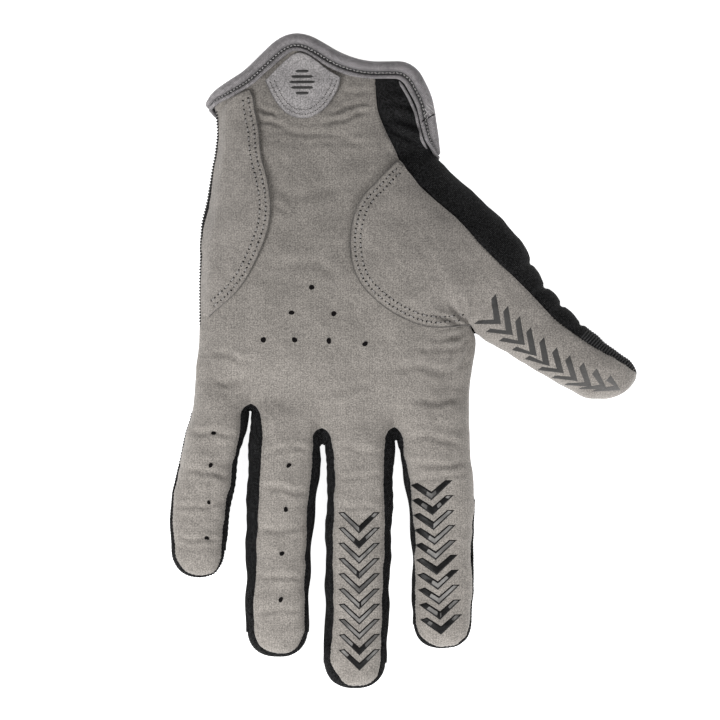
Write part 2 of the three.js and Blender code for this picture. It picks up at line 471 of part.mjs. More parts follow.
// ---------------------------------------------------------------- strips between the fingers
const webs = [
  { name: 'web_pinky_ring', a: 0, b: 1, turn: [250, 411], spread: 2.6 },
  { name: 'web_ring_middle', a: 1, b: 2, turn: [321.7, 445], spread: 3.6 },
  { name: 'web_middle_index', a: 2, b: 3, turn: [394, 440], spread: 3.6 },
];
const STRIP_ACROSS = 5, SIDE_SECTIONS = 9;
function webGeometry(w) {
  const A = FINGER_ORDER[w.a], B = FINGER_ORDER[w.b], crotch = CROTCH[w.b];
  const lap = 1.5;          // squares that the strip reaches under its neighbours
  const sections = [];
  const add = (edgeTop, inTop, edgeUnder, inUnder, mid, tuck) => {
    const nt = slopeNormal(top, edgeTop[0] + inTop[0] * 0.6, edgeTop[1] + inTop[1] * 0.6, 1);
    const nu = slopeNormal(under, edgeUnder[0] + inUnder[0] * 0.6, edgeUnder[1] + inUnder[1] * 0.6, -1);
    const pt = [edgeTop[0] + inTop[0] * lap, edgeTop[1] + inTop[1] * lap], pu = [edgeUnder[0] + inUnder[0] * lap, edgeUnder[1] + inUnder[1] * lap];
    const T = place(pt[0], pt[1], top(pt[0], pt[1])).addScaledVector(nt, -(SUEDE + GAP + 0.35));
    const U = place(pu[0], pu[1], under(pu[0], pu[1])).addScaledVector(nu, -(STRETCH + GAP + 0.35));
    const M = place(mid[0], mid[1], SEAM_Z);
    const inward = T.clone().add(U).multiplyScalar(0.5).sub(M); inward.z = 0;
    if (inward.length() > 1e-6) M.addScaledVector(inward.normalize(), tuck);
    const tangent = (n, inn, sgn) => { const d = new THREE.Vector3(-inn[0], inn[1], 0).normalize(); return d.addScaledVector(n, -d.dot(n)).normalize(); };
    const tt = tangent(nt, inTop), tu = tangent(nu, inUnder);
    const lt = T.distanceTo(M) * 0.42, lu = U.distanceTo(M) * 0.42;
    const bez = (a, b, c, d, t) => a.clone().multiplyScalar((1 - t) ** 3).addScaledVector(b, 3 * t * (1 - t) ** 2).addScaledVector(c, 3 * t * t * (1 - t)).addScaledVector(d, t ** 3);
    const c1 = T.clone().addScaledVector(tt, lt), c2 = M.clone().add(new THREE.Vector3(0, 0, lt)), c3 = M.clone().add(new THREE.Vector3(0, 0, -lu)), c4 = U.clone().addScaledVector(tu, lu);
    const ring = [];
    const split = 0.5;
    for (let j = 0; j <= STRIP_ACROSS; j++) {
      const t = j / STRIP_ACROSS;
      ring.push(t <= split ? bez(T, c1, c2, M, t / split) : bez(M, c3, c4, U, (t - split) / (1 - split)));
    }
    sections.push(ring);
  };
  const run = (key, sign, front, inverse) => {
    const limb = limbs[key], dom = front, back = backDomains[FINGER_ORDER.indexOf(key)];
    const name = `${key}${sign > 0 ? 'Right' : 'Left'}`, ft = frontInset(name), fb = backInset(crotch[1], limb.bend);
    const out = r => sign > 0 ? limb.right(r) : limb.left(r);
    const list = [];
    for (let i = 1; i <= SIDE_SECTIONS; i++) {
      const f = i / SIDE_SECTIONS, r = mix(w.turn[1] + 3, limb.bend + limb.reach * 0.18, Math.pow(f, 0.9));
      const q = Math.min(r, limb.bend), t = Math.max(0, (r - limb.bend) / limb.reach);
      const shrink = Math.pow(1 - Math.pow(t, limb.power), 1 / CROSS_POWER);
      const centre = (limb.left(q) + limb.right(q)) / 2, o = centre + (out(q) - centre) * shrink;
      const endEase = ease((f - 0.8) / 0.2);
      list.push([[o - sign * ft(q) * (1 - 0.35 * endEase), r], [-sign, 0], [o - sign * fb(q) * (1 - 0.35 * endEase), r], [-sign, 0], [o, r], 1.5 * endEase]);
    }
    return list;
  };
  const left = run(A, 1, frontDomains[w.a]).reverse(), right = run(B, -1, frontDomains[w.b]);
  left.forEach(s => add(...s));
  // round the turn
  const oa = limbs[A].right(w.turn[1] + 3), ob = limbs[B].left(w.turn[1] + 3);
  const cx = (oa + ob) / 2, half = Math.max(0.8, (ob - oa) / 2);
  for (const ang of [-55, 0, 55]) {
    const a = ang * Math.PI / 180;
    const mid = [cx + Math.sin(a) * half, w.turn[1] + 3 - Math.cos(a) * 3];
    const dir = [Math.sin(a) * 0.9, -Math.cos(a)];
    const l = Math.hypot(...dir), inn = [dir[0] / l, dir[1] / l];
    const s = Math.sin(a);
    const et = [crotch[0] + s * w.spread, crotch[1] + Math.abs(s) * 5], eu = [crotch[0] + s * w.spread, crotch[1] + Math.abs(s) * 5];
    add(et, inn, eu, inn, mid, 0);
  }
  right.forEach(s => add(...s));
  const P = sections.flat(), tri = [], n = STRIP_ACROSS + 1;
  for (let i = 0; i + 1 < sections.length; i++) for (let j = 0; j < STRIP_ACROSS; j++) {
    const a = i * n + j, b = (i + 1) * n + j, c = (i + 1) * n + j + 1, d = i * n + j + 1;
    if (P[a].distanceTo(P[c]) < P[b].distanceTo(P[d])) tri.push([a, c, b], [a, d, c]);
    else tri.push([a, d, b], [b, d, c]);
  }
  const N = P.map(() => new THREE.Vector3()), e1 = new THREE.Vector3(), e2 = new THREE.Vector3();
  for (const [a, b, c] of tri) for (const [i, j, k] of [[a, b, c], [b, c, a], [c, a, b]]) {
    e1.subVectors(P[j], P[i]); e2.subVectors(P[k], P[i]);
    N[i].addScaledVector(new THREE.Vector3().crossVectors(e1, e2).normalize(), e1.angleTo(e2));
  }
  return wall(P, tri, P.map((p, i) => p.clone().addScaledVector(N[i].normalize(), -SIDE_STRIP)));
}

// ---------------------------------------------------------------- cuff tape
// cross-section of the folded tape: into = mm in from the cut edge, out = mm above the middle of the fabric
const TAPE_SECTION = table('into out', [
  [4.8, 0.95], [4.75, 1.75], [3.2, 1.85], [2.6, 1.45], [1.9, 2.15], [0.4, 2.4], [-1.15, 1.7], [-1.75, 0], [-1.15, -1.5], [0.4, -1.95],
  [4.0, -1.75], [4.0, -0.95], [-0.65, -0.95], [-0.65, 0.95]]);
const FOLD_REACH = 8, FOLD_SHORT = 0.68;   // mm beside each side fold, and how much shorter the tape's legs are there
function tapeGeometry() {
  const leftOutline = bodyLeftLine, rightOutline = line(OUTLINE_BLACK);
  const runs = [
    { f: line(MOUTH_PALM), height: top, sign: 1, steps: crowdStart(17, 0.5), outline: leftOutline, turn: 1 },
    { f: line(MOUTH_THUMB), height: top, sign: 1, steps: crowdEnd(14, 0.5) },
    { f: flip(line(MOUTH_BACK_THUMB)), height: under, sign: -1, steps: crowdStart(6, 0.4), outline: rightOutline, turn: -1 },
    { f: flip(line(MOUTH_BACK)), height: under, sign: -1, steps: crowdEnd(11, 0.6) }];
  const stations = [];
  for (const run of runs) run.steps.slice(0, -1).forEach((t, i) => {
    const [c, r] = run.f(t);
    let N = slopeNormal(run.height, c, r, run.sign);
    const edge = i === 0 && run.outline;
    if (edge) {      // where the edge crosses the side outline
      const a = edge(0), b = edge(0.04);
      N = new THREE.Vector3((b[1] - a[1]) * -run.turn, (b[0] - a[0]) * -run.turn, 0).normalize();
    }
    const S = place(c, r, edge ? SEAM_Z : run.height(c, r));
    stations.push({ ...run, edge, c, r, N, E: S.clone().addScaledVector(N, -SUEDE / 2) });
  });
  const count = stations.length, at = i => (i + count) % count;
  const smooth = stations.map((s, i) => s.edge ? s.N.clone()
    : s.N.clone().multiplyScalar(2).add(stations[at(i - 1)].N).add(stations[at(i + 1)].N).normalize());
  const turns = stations.map((s, i) => s.edge ? i : -1).filter(i => i >= 0);
  const P = [], m = TAPE_SECTION.length, faces = [];
  stations.forEach((s, i) => {
    const T = stations[at(i + 1)].E.clone().sub(stations[at(i - 1)].E).normalize();
    const N0 = smooth[i].clone().addScaledVector(T, -T.dot(smooth[i])).normalize();
    const I = new THREE.Vector3().crossVectors(N0, T).normalize().negate();
    const base = into => {          // middle of the fabric and its normal, at a distance in from the edge
      if (into <= 0) return [s.E.clone().addScaledVector(I, into), N0];
      if (s.edge) {
        const p = s.edge(into / SQUARE / 300), q = s.edge(into / SQUARE / 300 + 0.03);   // both outlines are 300 squares long
        const n = new THREE.Vector3((q[1] - p[1]) * -s.turn, (q[0] - p[0]) * -s.turn, 0).normalize();
        return [place(p[0], p[1], SEAM_Z).addScaledVector(n, -SUEDE / 2), n];
      }
      const Q = s.E.clone().addScaledVector(I, into).addScaledVector(N0, SUEDE / 2);
      const r = PLAN_Y0 - Q.y / SQUARE, half0 = (body.right(s.r) - body.left(s.r)) / 2, half = (body.right(r) - body.left(r)) / 2;
      const u = (s.c - body.left(s.r)) / half0 - 1 + (Q.x / SQUARE + PLAN_X0 - s.c) / half;
      const c = body.left(r) + half * (1 + clamp(u, -1 + 0.7 / half, 1 - 0.7 / half));
      const n = slopeNormal(s.height, c, r, s.sign);
      return [place(c, r, s.height(c, r)).addScaledVector(n, -SUEDE / 2), n];
    };
    const near = Math.max(...turns.map(k => Math.exp(-Math.pow(s.E.distanceTo(stations[k].E) / FOLD_REACH, 2))));
    for (const q of TAPE_SECTION) {
      const [b, n] = base(q.into > 0 ? q.into * (1 - FOLD_SHORT * near) : q.into * (1 + near));
      P.push(b.addScaledVector(n, q.out * (1 + 0.6 * near)));
    }
  });
  for (let i = 0; i < count; i++) for (let j = 0; j < m; j++) {
    const a = i * m + j, b = at(i + 1) * m + j, c = at(i + 1) * m + (j + 1) % m, d = i * m + (j + 1) % m;
    faces.push([a, b, c], [a, c, d]);
  }
  const geometry = new THREE.BufferGeometry();
  geometry.setAttribute('position', new THREE.Float32BufferAttribute(P.flatMap(p => [p.x, p.y, p.z]), 3));
  geometry.setIndex(faces.flat());
  geometry.computeVertexNormals();
  return geometry;
}

// ---------------------------------------------------------------- assembly
const MATERIALS = {
  suede: new THREE.MeshStandardMaterial({ color: 0x8b8781, roughness: 0.95, metalness: 0 }),
  patch: new THREE.MeshStandardMaterial({ color: 0x8f8b86, roughness: 0.95, metalness: 0 }),
  tab: new THREE.MeshStandardMaterial({ color: 0x9b989b, roughness: 0.9, metalness: 0 }),
  stretch: new THREE.MeshStandardMaterial({ color: 0x161617, roughness: 0.85, metalness: 0 }),
  tape: new THREE.MeshStandardMaterial({ color: 0x7b787c, roughness: 0.8, metalness: 0 }),
};
const group = new THREE.Group();
function piece(name, geometry, material) {
  const mesh = new THREE.Mesh(geometry, MATERIALS[material]);
  mesh.name = name;
  group.add(mesh);
}
piece('palm_panel', palmSheet.solid(SUEDE), 'suede');
piece('back_panel', backSheet.solid(STRETCH, true), 'stretch');
piece('thumb_panel', thumbSheet.solid(PATCH), 'patch');
piece('thumb_back', thumbBack.solid(STRETCH), 'stretch');
piece('heel_patch', heelSheet.solid(PATCH), 'patch');
piece('wrist_tab', tabSheet.solid(PATCH), 'tab');
piece('cuff_binding', tapeGeometry(), 'tape');
for (const w of webs) piece(w.name, webGeometry(w), 'stretch');

export default group;
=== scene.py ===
import bpy
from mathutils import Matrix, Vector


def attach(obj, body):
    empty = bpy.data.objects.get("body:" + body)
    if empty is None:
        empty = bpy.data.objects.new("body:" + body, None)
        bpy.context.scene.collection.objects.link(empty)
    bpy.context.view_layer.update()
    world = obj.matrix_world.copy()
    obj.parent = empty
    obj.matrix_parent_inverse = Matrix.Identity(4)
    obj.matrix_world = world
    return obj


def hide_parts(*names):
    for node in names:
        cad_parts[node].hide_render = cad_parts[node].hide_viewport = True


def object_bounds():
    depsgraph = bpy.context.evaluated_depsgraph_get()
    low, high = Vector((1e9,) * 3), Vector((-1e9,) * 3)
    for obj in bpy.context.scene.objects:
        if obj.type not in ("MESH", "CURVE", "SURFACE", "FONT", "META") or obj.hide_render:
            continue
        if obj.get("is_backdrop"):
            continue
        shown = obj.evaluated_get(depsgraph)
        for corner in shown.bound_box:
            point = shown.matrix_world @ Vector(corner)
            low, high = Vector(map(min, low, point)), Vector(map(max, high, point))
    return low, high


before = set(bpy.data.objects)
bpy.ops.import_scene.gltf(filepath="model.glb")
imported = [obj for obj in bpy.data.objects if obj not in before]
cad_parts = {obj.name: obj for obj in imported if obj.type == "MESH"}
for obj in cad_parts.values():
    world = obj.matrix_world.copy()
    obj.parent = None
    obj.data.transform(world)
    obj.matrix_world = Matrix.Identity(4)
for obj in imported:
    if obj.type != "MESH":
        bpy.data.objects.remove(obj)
import bpy, math
import numpy as np
from mathutils import Vector
from mathutils.bvhtree import BVHTree

RNG = np.random.default_rng(7)


def write_size(when, data={}):
    lo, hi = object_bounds()
    data[when] = {"low_m": [round(float(v), 5) for v in lo], "high_m": [round(float(v), 5) for v in hi],
                  "size_m": [round(float(b - a), 5) for a, b in zip(lo, hi)]}


write_size("cad")

# ------------------------------------------------------------------ sizes, as in the CAD source (mm)
SQUARE, PLAN_X0, PLAN_Y0 = 0.36, 404.0, 361.5
SEAM_Z, SUEDE, STRETCH, SIDE_STRIP, PATCH, PATCH_RISE = 6.5, 1.2, 1.1, 1.0, 1.0, 1.35
BLEND, CROSS_POWER, LIP_RISE = 4, 2.3, 0.38
MM = 0.001


def clamp(x, a, b):
    return np.minimum(b, np.maximum(a, x))


def ease(x):
    t = clamp(x, 0.0, 1.0)
    return t * t * (3 - 2 * t)


def mix(a, b, t):
    return a + (b - a) * t


def track(rows, key=0, value=1):
    x = np.array([r[key] for r in rows], float)
    y = np.array([r[value] for r in rows], float)
    d = np.diff(y) / np.diff(x)
    m = np.zeros(len(x))
    m[0], m[-1] = d[0], d[-1]
    for i in range(1, len(x) - 1):
        m[i] = 0 if d[i - 1] * d[i] <= 0 else 2 * d[i - 1] * d[i] / (d[i - 1] + d[i])

    def f(q):
        c = clamp(np.asarray(q, float), x[0], x[-1])
        i = np.clip(np.searchsorted(x, c, side="left") - 1, 0, len(x) - 2)
        h = x[i + 1] - x[i]
        t = (c - x[i]) / h
        t2, t3 = t * t, t * t * t
        return (2 * t3 - 3 * t2 + 1) * y[i] + (t3 - 2 * t2 + t) * h * m[i] + (-2 * t3 + 3 * t2) * y[i + 1] + (t3 - t2) * h * m[i + 1]
    return f


class Line:
    """Smooth plan line through [column, row] points; t runs 0..1 by length."""

    def __init__(self, points):
        p = self.p = np.array(points, float)
        s = self.s = np.concatenate([[0], np.cumsum(np.hypot(*np.diff(p, axis=0).T))])
        self.total = s[-1]
        d = np.diff(p, axis=0) / np.diff(s)[:, None]
        m = np.zeros_like(p)
        m[0], m[-1] = d[0], d[-1]
        for i in range(1, len(p) - 1):
            ha, hb = s[i] - s[i - 1], s[i + 1] - s[i]
            m[i] = (d[i - 1] * hb + d[i] * ha) / (ha + hb)
        self.m = m

    def at(self, i):
        return self.s[i] / self.total

    def __call__(self, t):
        q = clamp(np.asarray(t, float), 0, 1) * self.total
        i = np.clip(np.searchsorted(self.s, q, side="left") - 1, 0, len(self.s) - 2)
        h = self.s[i + 1] - self.s[i]
        u = ((q - self.s[i]) / h)[..., None]
        h = h[..., None]
        u2, u3 = u * u, u * u * u
        return (2 * u3 - 3 * u2 + 1) * self.p[i] + (u3 - 2 * u2 + u) * h * self.m[i] + (-2 * u3 + 3 * u2) * self.p[i + 1] + (u3 - u2) * h * self.m[i + 1]


def part(f, a, b):
    return lambda t: f(mix(a, b, np.asarray(t, float)))


def flip(f):
    return lambda t: f(1 - np.asarray(t, float))


def shifted(f, offset):
    def g(t):
        t = np.asarray(t, float)
        a, b, p = f(clamp(t - 0.01, 0, 1)), f(clamp(t + 0.01, 0, 1)), f(t)
        d = b - a
        l = np.hypot(d[..., 0], d[..., 1])
        by = offset(t)
        return np.stack([p[..., 0] - d[..., 1] / l * by, p[..., 1] + d[..., 0] / l * by], -1)
    return g


def patch(top, bottom, left, right, us, vs):
    """Plan patch between four lines, (v, u, 2)."""
    us, vs = np.asarray(us, float), np.asarray(vs, float)
    u, v = us[None, :, None], vs[:, None, None]
    T, B, L, R = top(us)[None], bottom(us)[None], left(vs)[:, None], right(vs)[:, None]
    a, b, c, d = top(0.0), top(1.0), bottom(0.0), bottom(1.0)
    return (1 - v) * T + v * B + (1 - u) * L + u * R - ((1 - u) * (1 - v) * a + u * (1 - v) * b + (1 - u) * v * c + u * v * d)


def even(n):
    return np.linspace(0, 1, n + 1)


def crowd_both(n, k=0.5):
    t = even(n)
    return mix(t, (1 - np.cos(np.pi * t)) / 2, k)


def crowd_end(n, k=0.7):
    t = even(n)
    return mix(t, np.sin(np.pi * t / 2), k)


def crowd_start(n, k=0.7):
    t = even(n)
    return mix(t, 1 - np.cos(np.pi * t / 2), k)


# ------------------------------------------------------------------ tables: plan squares, heights in mm
BODY_LEFT = [[30, 211], [94, 211.5], [104, 213], [114, 215.8], [130, 217.5], [154, 215], [170, 212], [200, 207],
             [230, 201], [280, 200], [322, 200], [354, 197.5], [380, 195], [404, 193], [418, 190], [434, 185], [458, 180]]
BODY_RIGHT = [[30, 480], [62, 470], [100, 458], [130, 444], [148, 435.5], [153, 434.5], [157, 437], [170, 449], [192, 469],
              [215, 480], [240, 486], [270, 487], [300, 483], [328, 477], [345, 475.5], [380, 470.5], [410, 469.5], [458, 471]]
BODY_CROWN = [[30, 11], [60, 12], [100, 14], [150, 16.5], [220, 18.5], [280, 17.5], [340, 14.5], [380, 12], [420, 10], [460, 9]]
WEB = [[185, 404], [251, 404], [322, 428], [394, 427], [475, 412]]
MOUNDS = [[238, 190, 38, 80, 0.10], [318, 205, 44, 85, -0.13], [330, 355, 110, 26, 0.06], [395, 250, 40, 60, 0.06]]
FINGERS = {  # tip row; rows of: row, left, right, crown
    "pinky": (577.5, [[340, 199, 256, 9], [380, 195, 254, 9], [404, 193, 251, 8.8], [418, 190, 248.3, 8.6], [434, 185, 244, 8.4],
                      [458, 180, 238, 8], [490, 173, 233, 7.4], [522, 170, 228, 6.6], [545, 171, 224.5, 6]]),
    "ring": (657.5, [[350, 254, 322, 10.5], [404, 251, 322.5, 10.3], [428, 250.5, 322, 10], [450, 249, 320, 9.8], [474, 248, 319, 9.5],
                     [506, 247, 315, 9], [538, 246, 312, 8.5], [570, 246.5, 309.5, 7.9], [602, 246, 308.3, 7.2], [627, 247, 307.7, 6.6]]),
    "middle": (688.5, [[350, 325, 396, 10.8], [428, 322, 394.5, 10.3], [450, 325, 394, 10.1], [474, 328, 393, 9.8], [506, 327, 392, 9.4],
                       [538, 326, 391, 8.9], [570, 326, 389.5, 8.4], [602, 325.7, 388.7, 7.9], [634, 325, 387.3, 7.3], [658, 324.5, 385.7, 6.8]]),
    "index": (648.5, [[350, 397, 475, 10.8], [380, 396.5, 470.5, 10.6], [427, 394.5, 469.7, 10.2], [450, 399.5, 470.2, 9.9], [474, 404, 472, 9.6],
                      [506, 409, 474, 9.1], [538, 412, 473.5, 8.6], [570, 413, 473.8, 8], [602, 412.7, 472.3, 7.3], [620, 414, 471.6, 6.9]]),
}
ORDER = ["pinky", "ring", "middle", "index"]
FRONT_INSET = {
    "pinkyRight": [[404, 0], [405.5, 3.2], [409, 6.0], [414, 7.0], [420, 6.4], [439, 4.2], [467, 3], [498, 3], [526, 2.2], [545, 2]],
    "ringLeft": [[404, 0], [405.2, 3.2], [408, 6.0], [415, 9.4], [424, 11], [445, 13], [498, 12], [546, 9.5], [600, 7.5], [627, 5.5]],
    "ringRight": [[428, 0], [429.2, 3.2], [432, 6.0], [436, 7.4], [446, 6.7], [469, 5.4], [498, 5.8], [528, 4.6], [593, 3.8], [627, 3.2]],
    "middleLeft": [[428, 0], [429.2, 3.2], [432, 6.0], [436, 7.5], [447, 7.2], [478, 5.6], [523, 6.5], [604, 7], [645, 7], [658, 6]],
    "middleRight": [[427, 0], [428.2, 3.0], [431, 5.8], [436, 7.8], [447, 9], [482, 8], [523, 6.5], [564, 5.4], [604, 4.8], [645, 3.6], [658, 3]],
    "indexLeft": [[427, 0], [428.2, 2.4], [431, 4.2], [436, 5.2], [442, 4.6], [450, 2.8], [502, 2.2], [564, 2.0], [600, 1.8], [620, 1.8]],
}
BACK_INSET = 6.5
THUMB_ROOT, THUMB_ANGLE, THUMB_TIP, THUMB_TIP_SKEW = (470, 262), math.radians(36.6), 204.5, 13
THUMB = [[-125, -50, 66, 0], [-89, -54, 64.6, 4], [-72, -54, 61.4, 8], [-38, -54, 58.6, 13], [-5, -53, 55, 15], [24, -52, 48, 14.6],
         [44, -50.8, 39.5, 13.8], [60, -50.5, 31.3, 13], [77, -50, 26, 12.2], [100, -48.4, 20.9, 11.2], [130, -46, 17.2, 10.2],
         [145, -45, 17, 9.8], [160, -42.5, 16.4, 9.3]]
MOUTH_PALM = [[213, 103], [216, 98], [229, 87], [245, 76], [265, 58], [278.5, 46], [288, 40.7], [297, 39], [308.5, 41],
              [321, 47.5], [336.5, 57], [354, 64], [371.5, 67], [376, 67.2]]
MOUTH_THUMB = [[376, 67.2], [392, 67], [404, 67.6], [413, 73], [421.5, 86], [428, 100], [431, 113.5], [433, 129], [434.3, 143], [434.5, 153]]
MOUTH_BACK = [[213, 103], [218, 109], [228, 113.5], [250, 119], [290, 127], [330, 135], [370, 146], [400, 155]]
MOUTH_BACK_THUMB = [[400, 155], [414, 159.5], [425, 160.5], [431.5, 158], [434.5, 153]]
BLACK_SEAM = [[376, 67.2], [375.6, 82], [376, 98], [378, 113], [382, 124], [388, 138], [397, 156], [403, 168], [416, 182],
              [431, 197], [448, 212], [474, 238], [503, 267], [531, 295], [546, 311], [566, 327], [594, 345], [615, 357], [631, 366.5]]
UNDER_PATCH = [[397, 156], [404, 180], [414, 210], [424, 240], [434, 268], [446, 293], [459, 312], [471, 326], [475.5, 338], [475, 350],
               [470.5, 380], [469.5, 410]]
PATCH_TOP = [[403, 168], [398, 163], [388, 171], [376, 184], [364, 196], [357, 208], [352, 224], [350, 244]]
PATCH_SIDE = [[350, 244], [351, 257], [355, 273], [362, 286], [374, 299], [388, 310], [402, 318], [417, 324.5], [433, 327.5],
              [448, 327], [460, 325.5], [470.5, 325.5]]
OUTLINE_BLACK = [[434.5, 153], [437, 157], [449, 170], [461, 181], [474, 192], [487, 204], [499, 215], [509, 227], [518, 238],
                 [526, 250], [532, 262], [538, 274], [547, 287], [555, 296.5], [563, 305], [573, 316], [584, 325], [594, 332], [608, 344], [625, 357.5], [636, 368.5]]
BACK_SEAM = [[400, 155], [409, 185], [422, 222], [437, 258], [453, 291], [467, 317], [475.5, 334], [475.2, 348], [470.5, 380], [469.5, 410]]
HEEL_SEAM = [[250.5, 91], [254, 99], [255.5, 110], [258, 122], [260, 132], [261, 146], [263, 161], [267, 175], [270, 190], [271.5, 205],
             [270, 225], [264, 245], [257, 261], [248, 278], [236, 294], [223, 306], [210, 316.5]]
TAB_LEFT = [[266, 83], [271, 94], [278, 106], [284.5, 113.5]]
TAB_FOOT = [[284.5, 113.5], [290, 117], [297, 119.5], [304, 120.3], [311, 119.3], [318, 116]]
TAB_RIGHT = [[341, 80], [340, 86], [335, 97], [326, 109.5], [318, 116]]
TAB_TOP = [[266, 83], [274, 74], [284, 64], [293, 57], [300, 54.8], [308, 57.2], [316, 62.5], [328, 72], [341, 80]]

# ------------------------------------------------------------------ smooth noise over the plan (mm)
def waves(scale, count, seed, stretch=(1, 1), angle=0.0):
    """A smooth field about -1..1 with features of about scale mm."""
    r = np.random.default_rng(seed)
    a = r.uniform(0, 2 * np.pi, count)
    k = 2 * np.pi / (scale * r.uniform(0.7, 1.6, count))
    kx, ky = k * np.cos(a) / stretch[0], k * np.sin(a) / stretch[1]
    ca, sa = math.cos(angle), math.sin(angle)
    ph = r.uniform(0, 2 * np.pi, count)

    def f(x, y):
        X, Y = x * ca + y * sa, -x * sa + y * ca
        out = np.zeros(np.broadcast(x, y).shape)
        for i in range(count):
            out = out + np.sin(kx[i] * X + ky[i] * Y + ph[i])
        return out / math.sqrt(count)
    return f


soft_big = waves(34, 9, 1)
soft_mid = waves(13, 11, 2)
soft_small = waves(5.0, 12, 3)
across = waves(5.5, 9, 4, stretch=(4.5, 1.0))
suede_ripple = waves(2.2, 12, 5, stretch=(1.6, 1.0))


def crease(c, r, a, b, depth, width, wobble=0.0, seed=0):
    """A soft furrow along the plan segment a-b; squares, depth and width in mm."""
    ax, ay, bx, by = *a, *b
    dx, dy = bx - ax, by - ay
    L = math.hypot(dx, dy)
    s = ((c - ax) * dx + (r - ay) * dy) / L
    d = ((c - ax) * dy - (r - ay) * dx) / L
    d = d + wobble * np.sin(s / L * 7 + seed) + 0.5 * wobble * np.sin(s / L * 17 + seed * 2.3)
    taper = ease(np.minimum(s, L - s) / (0.3 * L) + 0.0) * (s > 0) * (s < L)
    q = d * SQUARE / width
    return -depth * taper * (np.exp(-q * q) - 0.45 * np.exp(-((np.abs(q) - 1.9) / 1.0) ** 2))


mouth_row = track(MOUTH_PALM + MOUTH_THUMB[1:])
CREASES = [  # from, to, depth, width (mm), wobble (squares)
    ((254, 106), (282, 120), 0.55, 1.0, 0.8), ((256, 121), (292, 128), 0.5, 1.1, 1.0), ((262, 134), (372, 136), 0.40, 1.2, 1.6), ((316, 126), (376, 112), 0.65, 1.1, 1.4), ((322, 116), (374, 103), 0.45, 1.0, 1.2), ((300, 146), (380, 142), 0.35, 1.3, 1.6),
    ((340, 94), (374, 92), 0.30, 1.1, 1.0),
    ((275, 196), (352, 190), 0.22, 2.0, 2.0), ((272, 262), (346, 272), 0.25, 2.2, 2.4),
    ((204, 352), (262, 362), 0.40, 1.6, 2.2), ((210, 384), (252, 378), 0.35, 1.4, 1.6), ((300, 392), (388, 386), 0.35, 1.8, 2.4),
    ((380, 366), (462, 372), 0.45, 1.6, 2.0), ((400, 352), (470, 345), 0.40, 1.4, 1.6), ((404, 398), (466, 402), 0.40, 1.5, 1.8),
    ((184, 430), (240, 436), 0.45, 1.4, 1.6), ((178, 470), (234, 474), 0.45, 1.3, 1.4), ((172, 508), (228, 502), 0.40, 1.2, 1.4), ((173, 536), (224, 541), 0.35, 1.1, 1.2),
    ((258, 452), (314, 446), 0.40, 1.3, 1.6), ((258, 486), (312, 492), 0.50, 1.3, 1.5), ((256, 531), (308, 527), 0.42, 1.2, 1.3), ((254, 574), (306, 579), 0.42, 1.2, 1.2), ((254, 612), (305, 608), 0.3, 1.1, 1.0),
    ((330, 446), (388, 452), 0.40, 1.3, 1.6), ((330, 478), (388, 474), 0.40, 1.3, 1.4), ((331, 505), (386, 508), 0.3, 1.2, 1.2),
    ((402, 436), (468, 442), 0.45, 1.4, 1.6), ((406, 466), (470, 462), 0.42, 1.3, 1.4), ((410, 478), (472, 474), 0.25, 1.1, 1.0),
    ((470, 327), (446, 300), 0.50, 1.1, 0.6), ((469, 326), (458, 292), 0.45, 1.0, 0.6), ((468, 328), (428, 312), 0.42, 1.0, 0.6), ((473, 326), (474, 290), 0.45, 1.1, 0.5),
    ((474, 327), (492, 300), 0.55, 1.2, 0.6), ((468, 331), (434, 344), 0.70, 1.2, 0.8), ((470, 334), (446, 362), 0.60, 1.3, 0.8), ((472, 338), (458, 374), 0.5, 1.2, 0.6),
    ((250, 404), (256, 376), 0.26, 1.6, 0.6), ((322, 427), (317, 400), 0.2, 1.7, 0.6), ((394, 426), (399, 398), 0.2, 1.7, 0.6),
    ((352, 224), (330, 240), 0.25, 1.2, 0.6), ((271, 205), (292, 214), 0.25, 1.2, 0.6),
]


def relief(c, r):
    """Height in mm added along the normal of the upper side: folds and softness of worn suede."""
    x, y = (c - PLAN_X0) * SQUARE, (PLAN_Y0 - r) * SQUARE
    out = 0.42 * soft_big(x, y) + 0.22 * soft_mid(x, y) + 0.075 * soft_small(x, y)
    fingers = ease((r - 395) / 60) + 0.35 * ease((135 - r) / 40)
    out = out + 0.15 * across(x, y) * fingers + 0.022 * suede_ripple(x, y)
    near = clamp((r - mouth_row(c)) / 20, 0, 1)
    out = out * (0.25 + 0.75 * ease(near))
    for i, (a, b, d, w, wob) in enumerate(CREASES):
        out = out + ease(near * 1.4) * 1.35 * crease(c, r, a, b, d, w * 0.85, wob, seed=i * 1.7)
    return out


# ------------------------------------------------------------------ height of the two sides over the plan
body_left, body_right, body_crown = track(BODY_LEFT), track(BODY_RIGHT), track(BODY_CROWN)
web_row = track(WEB)
lip_row = track(MOUTH_BACK + MOUTH_BACK_THUMB[1:3] + [[440, 161]])


class Limb:
    def __init__(self, rows, bend, reach, skew, flat, start, power):
        self.left, self.right, self.crown = track(rows, 0, 1), track(rows, 0, 2), track(rows, 0, 3)
        self.bend, self.reach, self.skew, self.flat, self.start, self.power = bend, reach, skew, flat, start, power

    def fill(self, s, n):
        q = np.minimum(s, self.bend)
        a, b = self.left(q), self.right(q)
        t = np.maximum(0, (s - self.bend) / self.reach)
        m, half = (a + b) / 2 + self.skew * t * t, (b - a) / 2
        return (np.abs(n - m) / half) ** CROSS_POWER + t ** self.power


limbs = {k: Limb(rows, rows[-1][0], tip - rows[-1][0], 0, 0.5, rows[0][0], 2.5) for k, (tip, rows) in FINGERS.items()}
limbs["thumb"] = Limb(THUMB, 160, THUMB_TIP - 160, THUMB_TIP_SKEW, 0.6, -200, 2.2)
CT, ST = math.cos(THUMB_ANGLE), math.sin(THUMB_ANGLE)


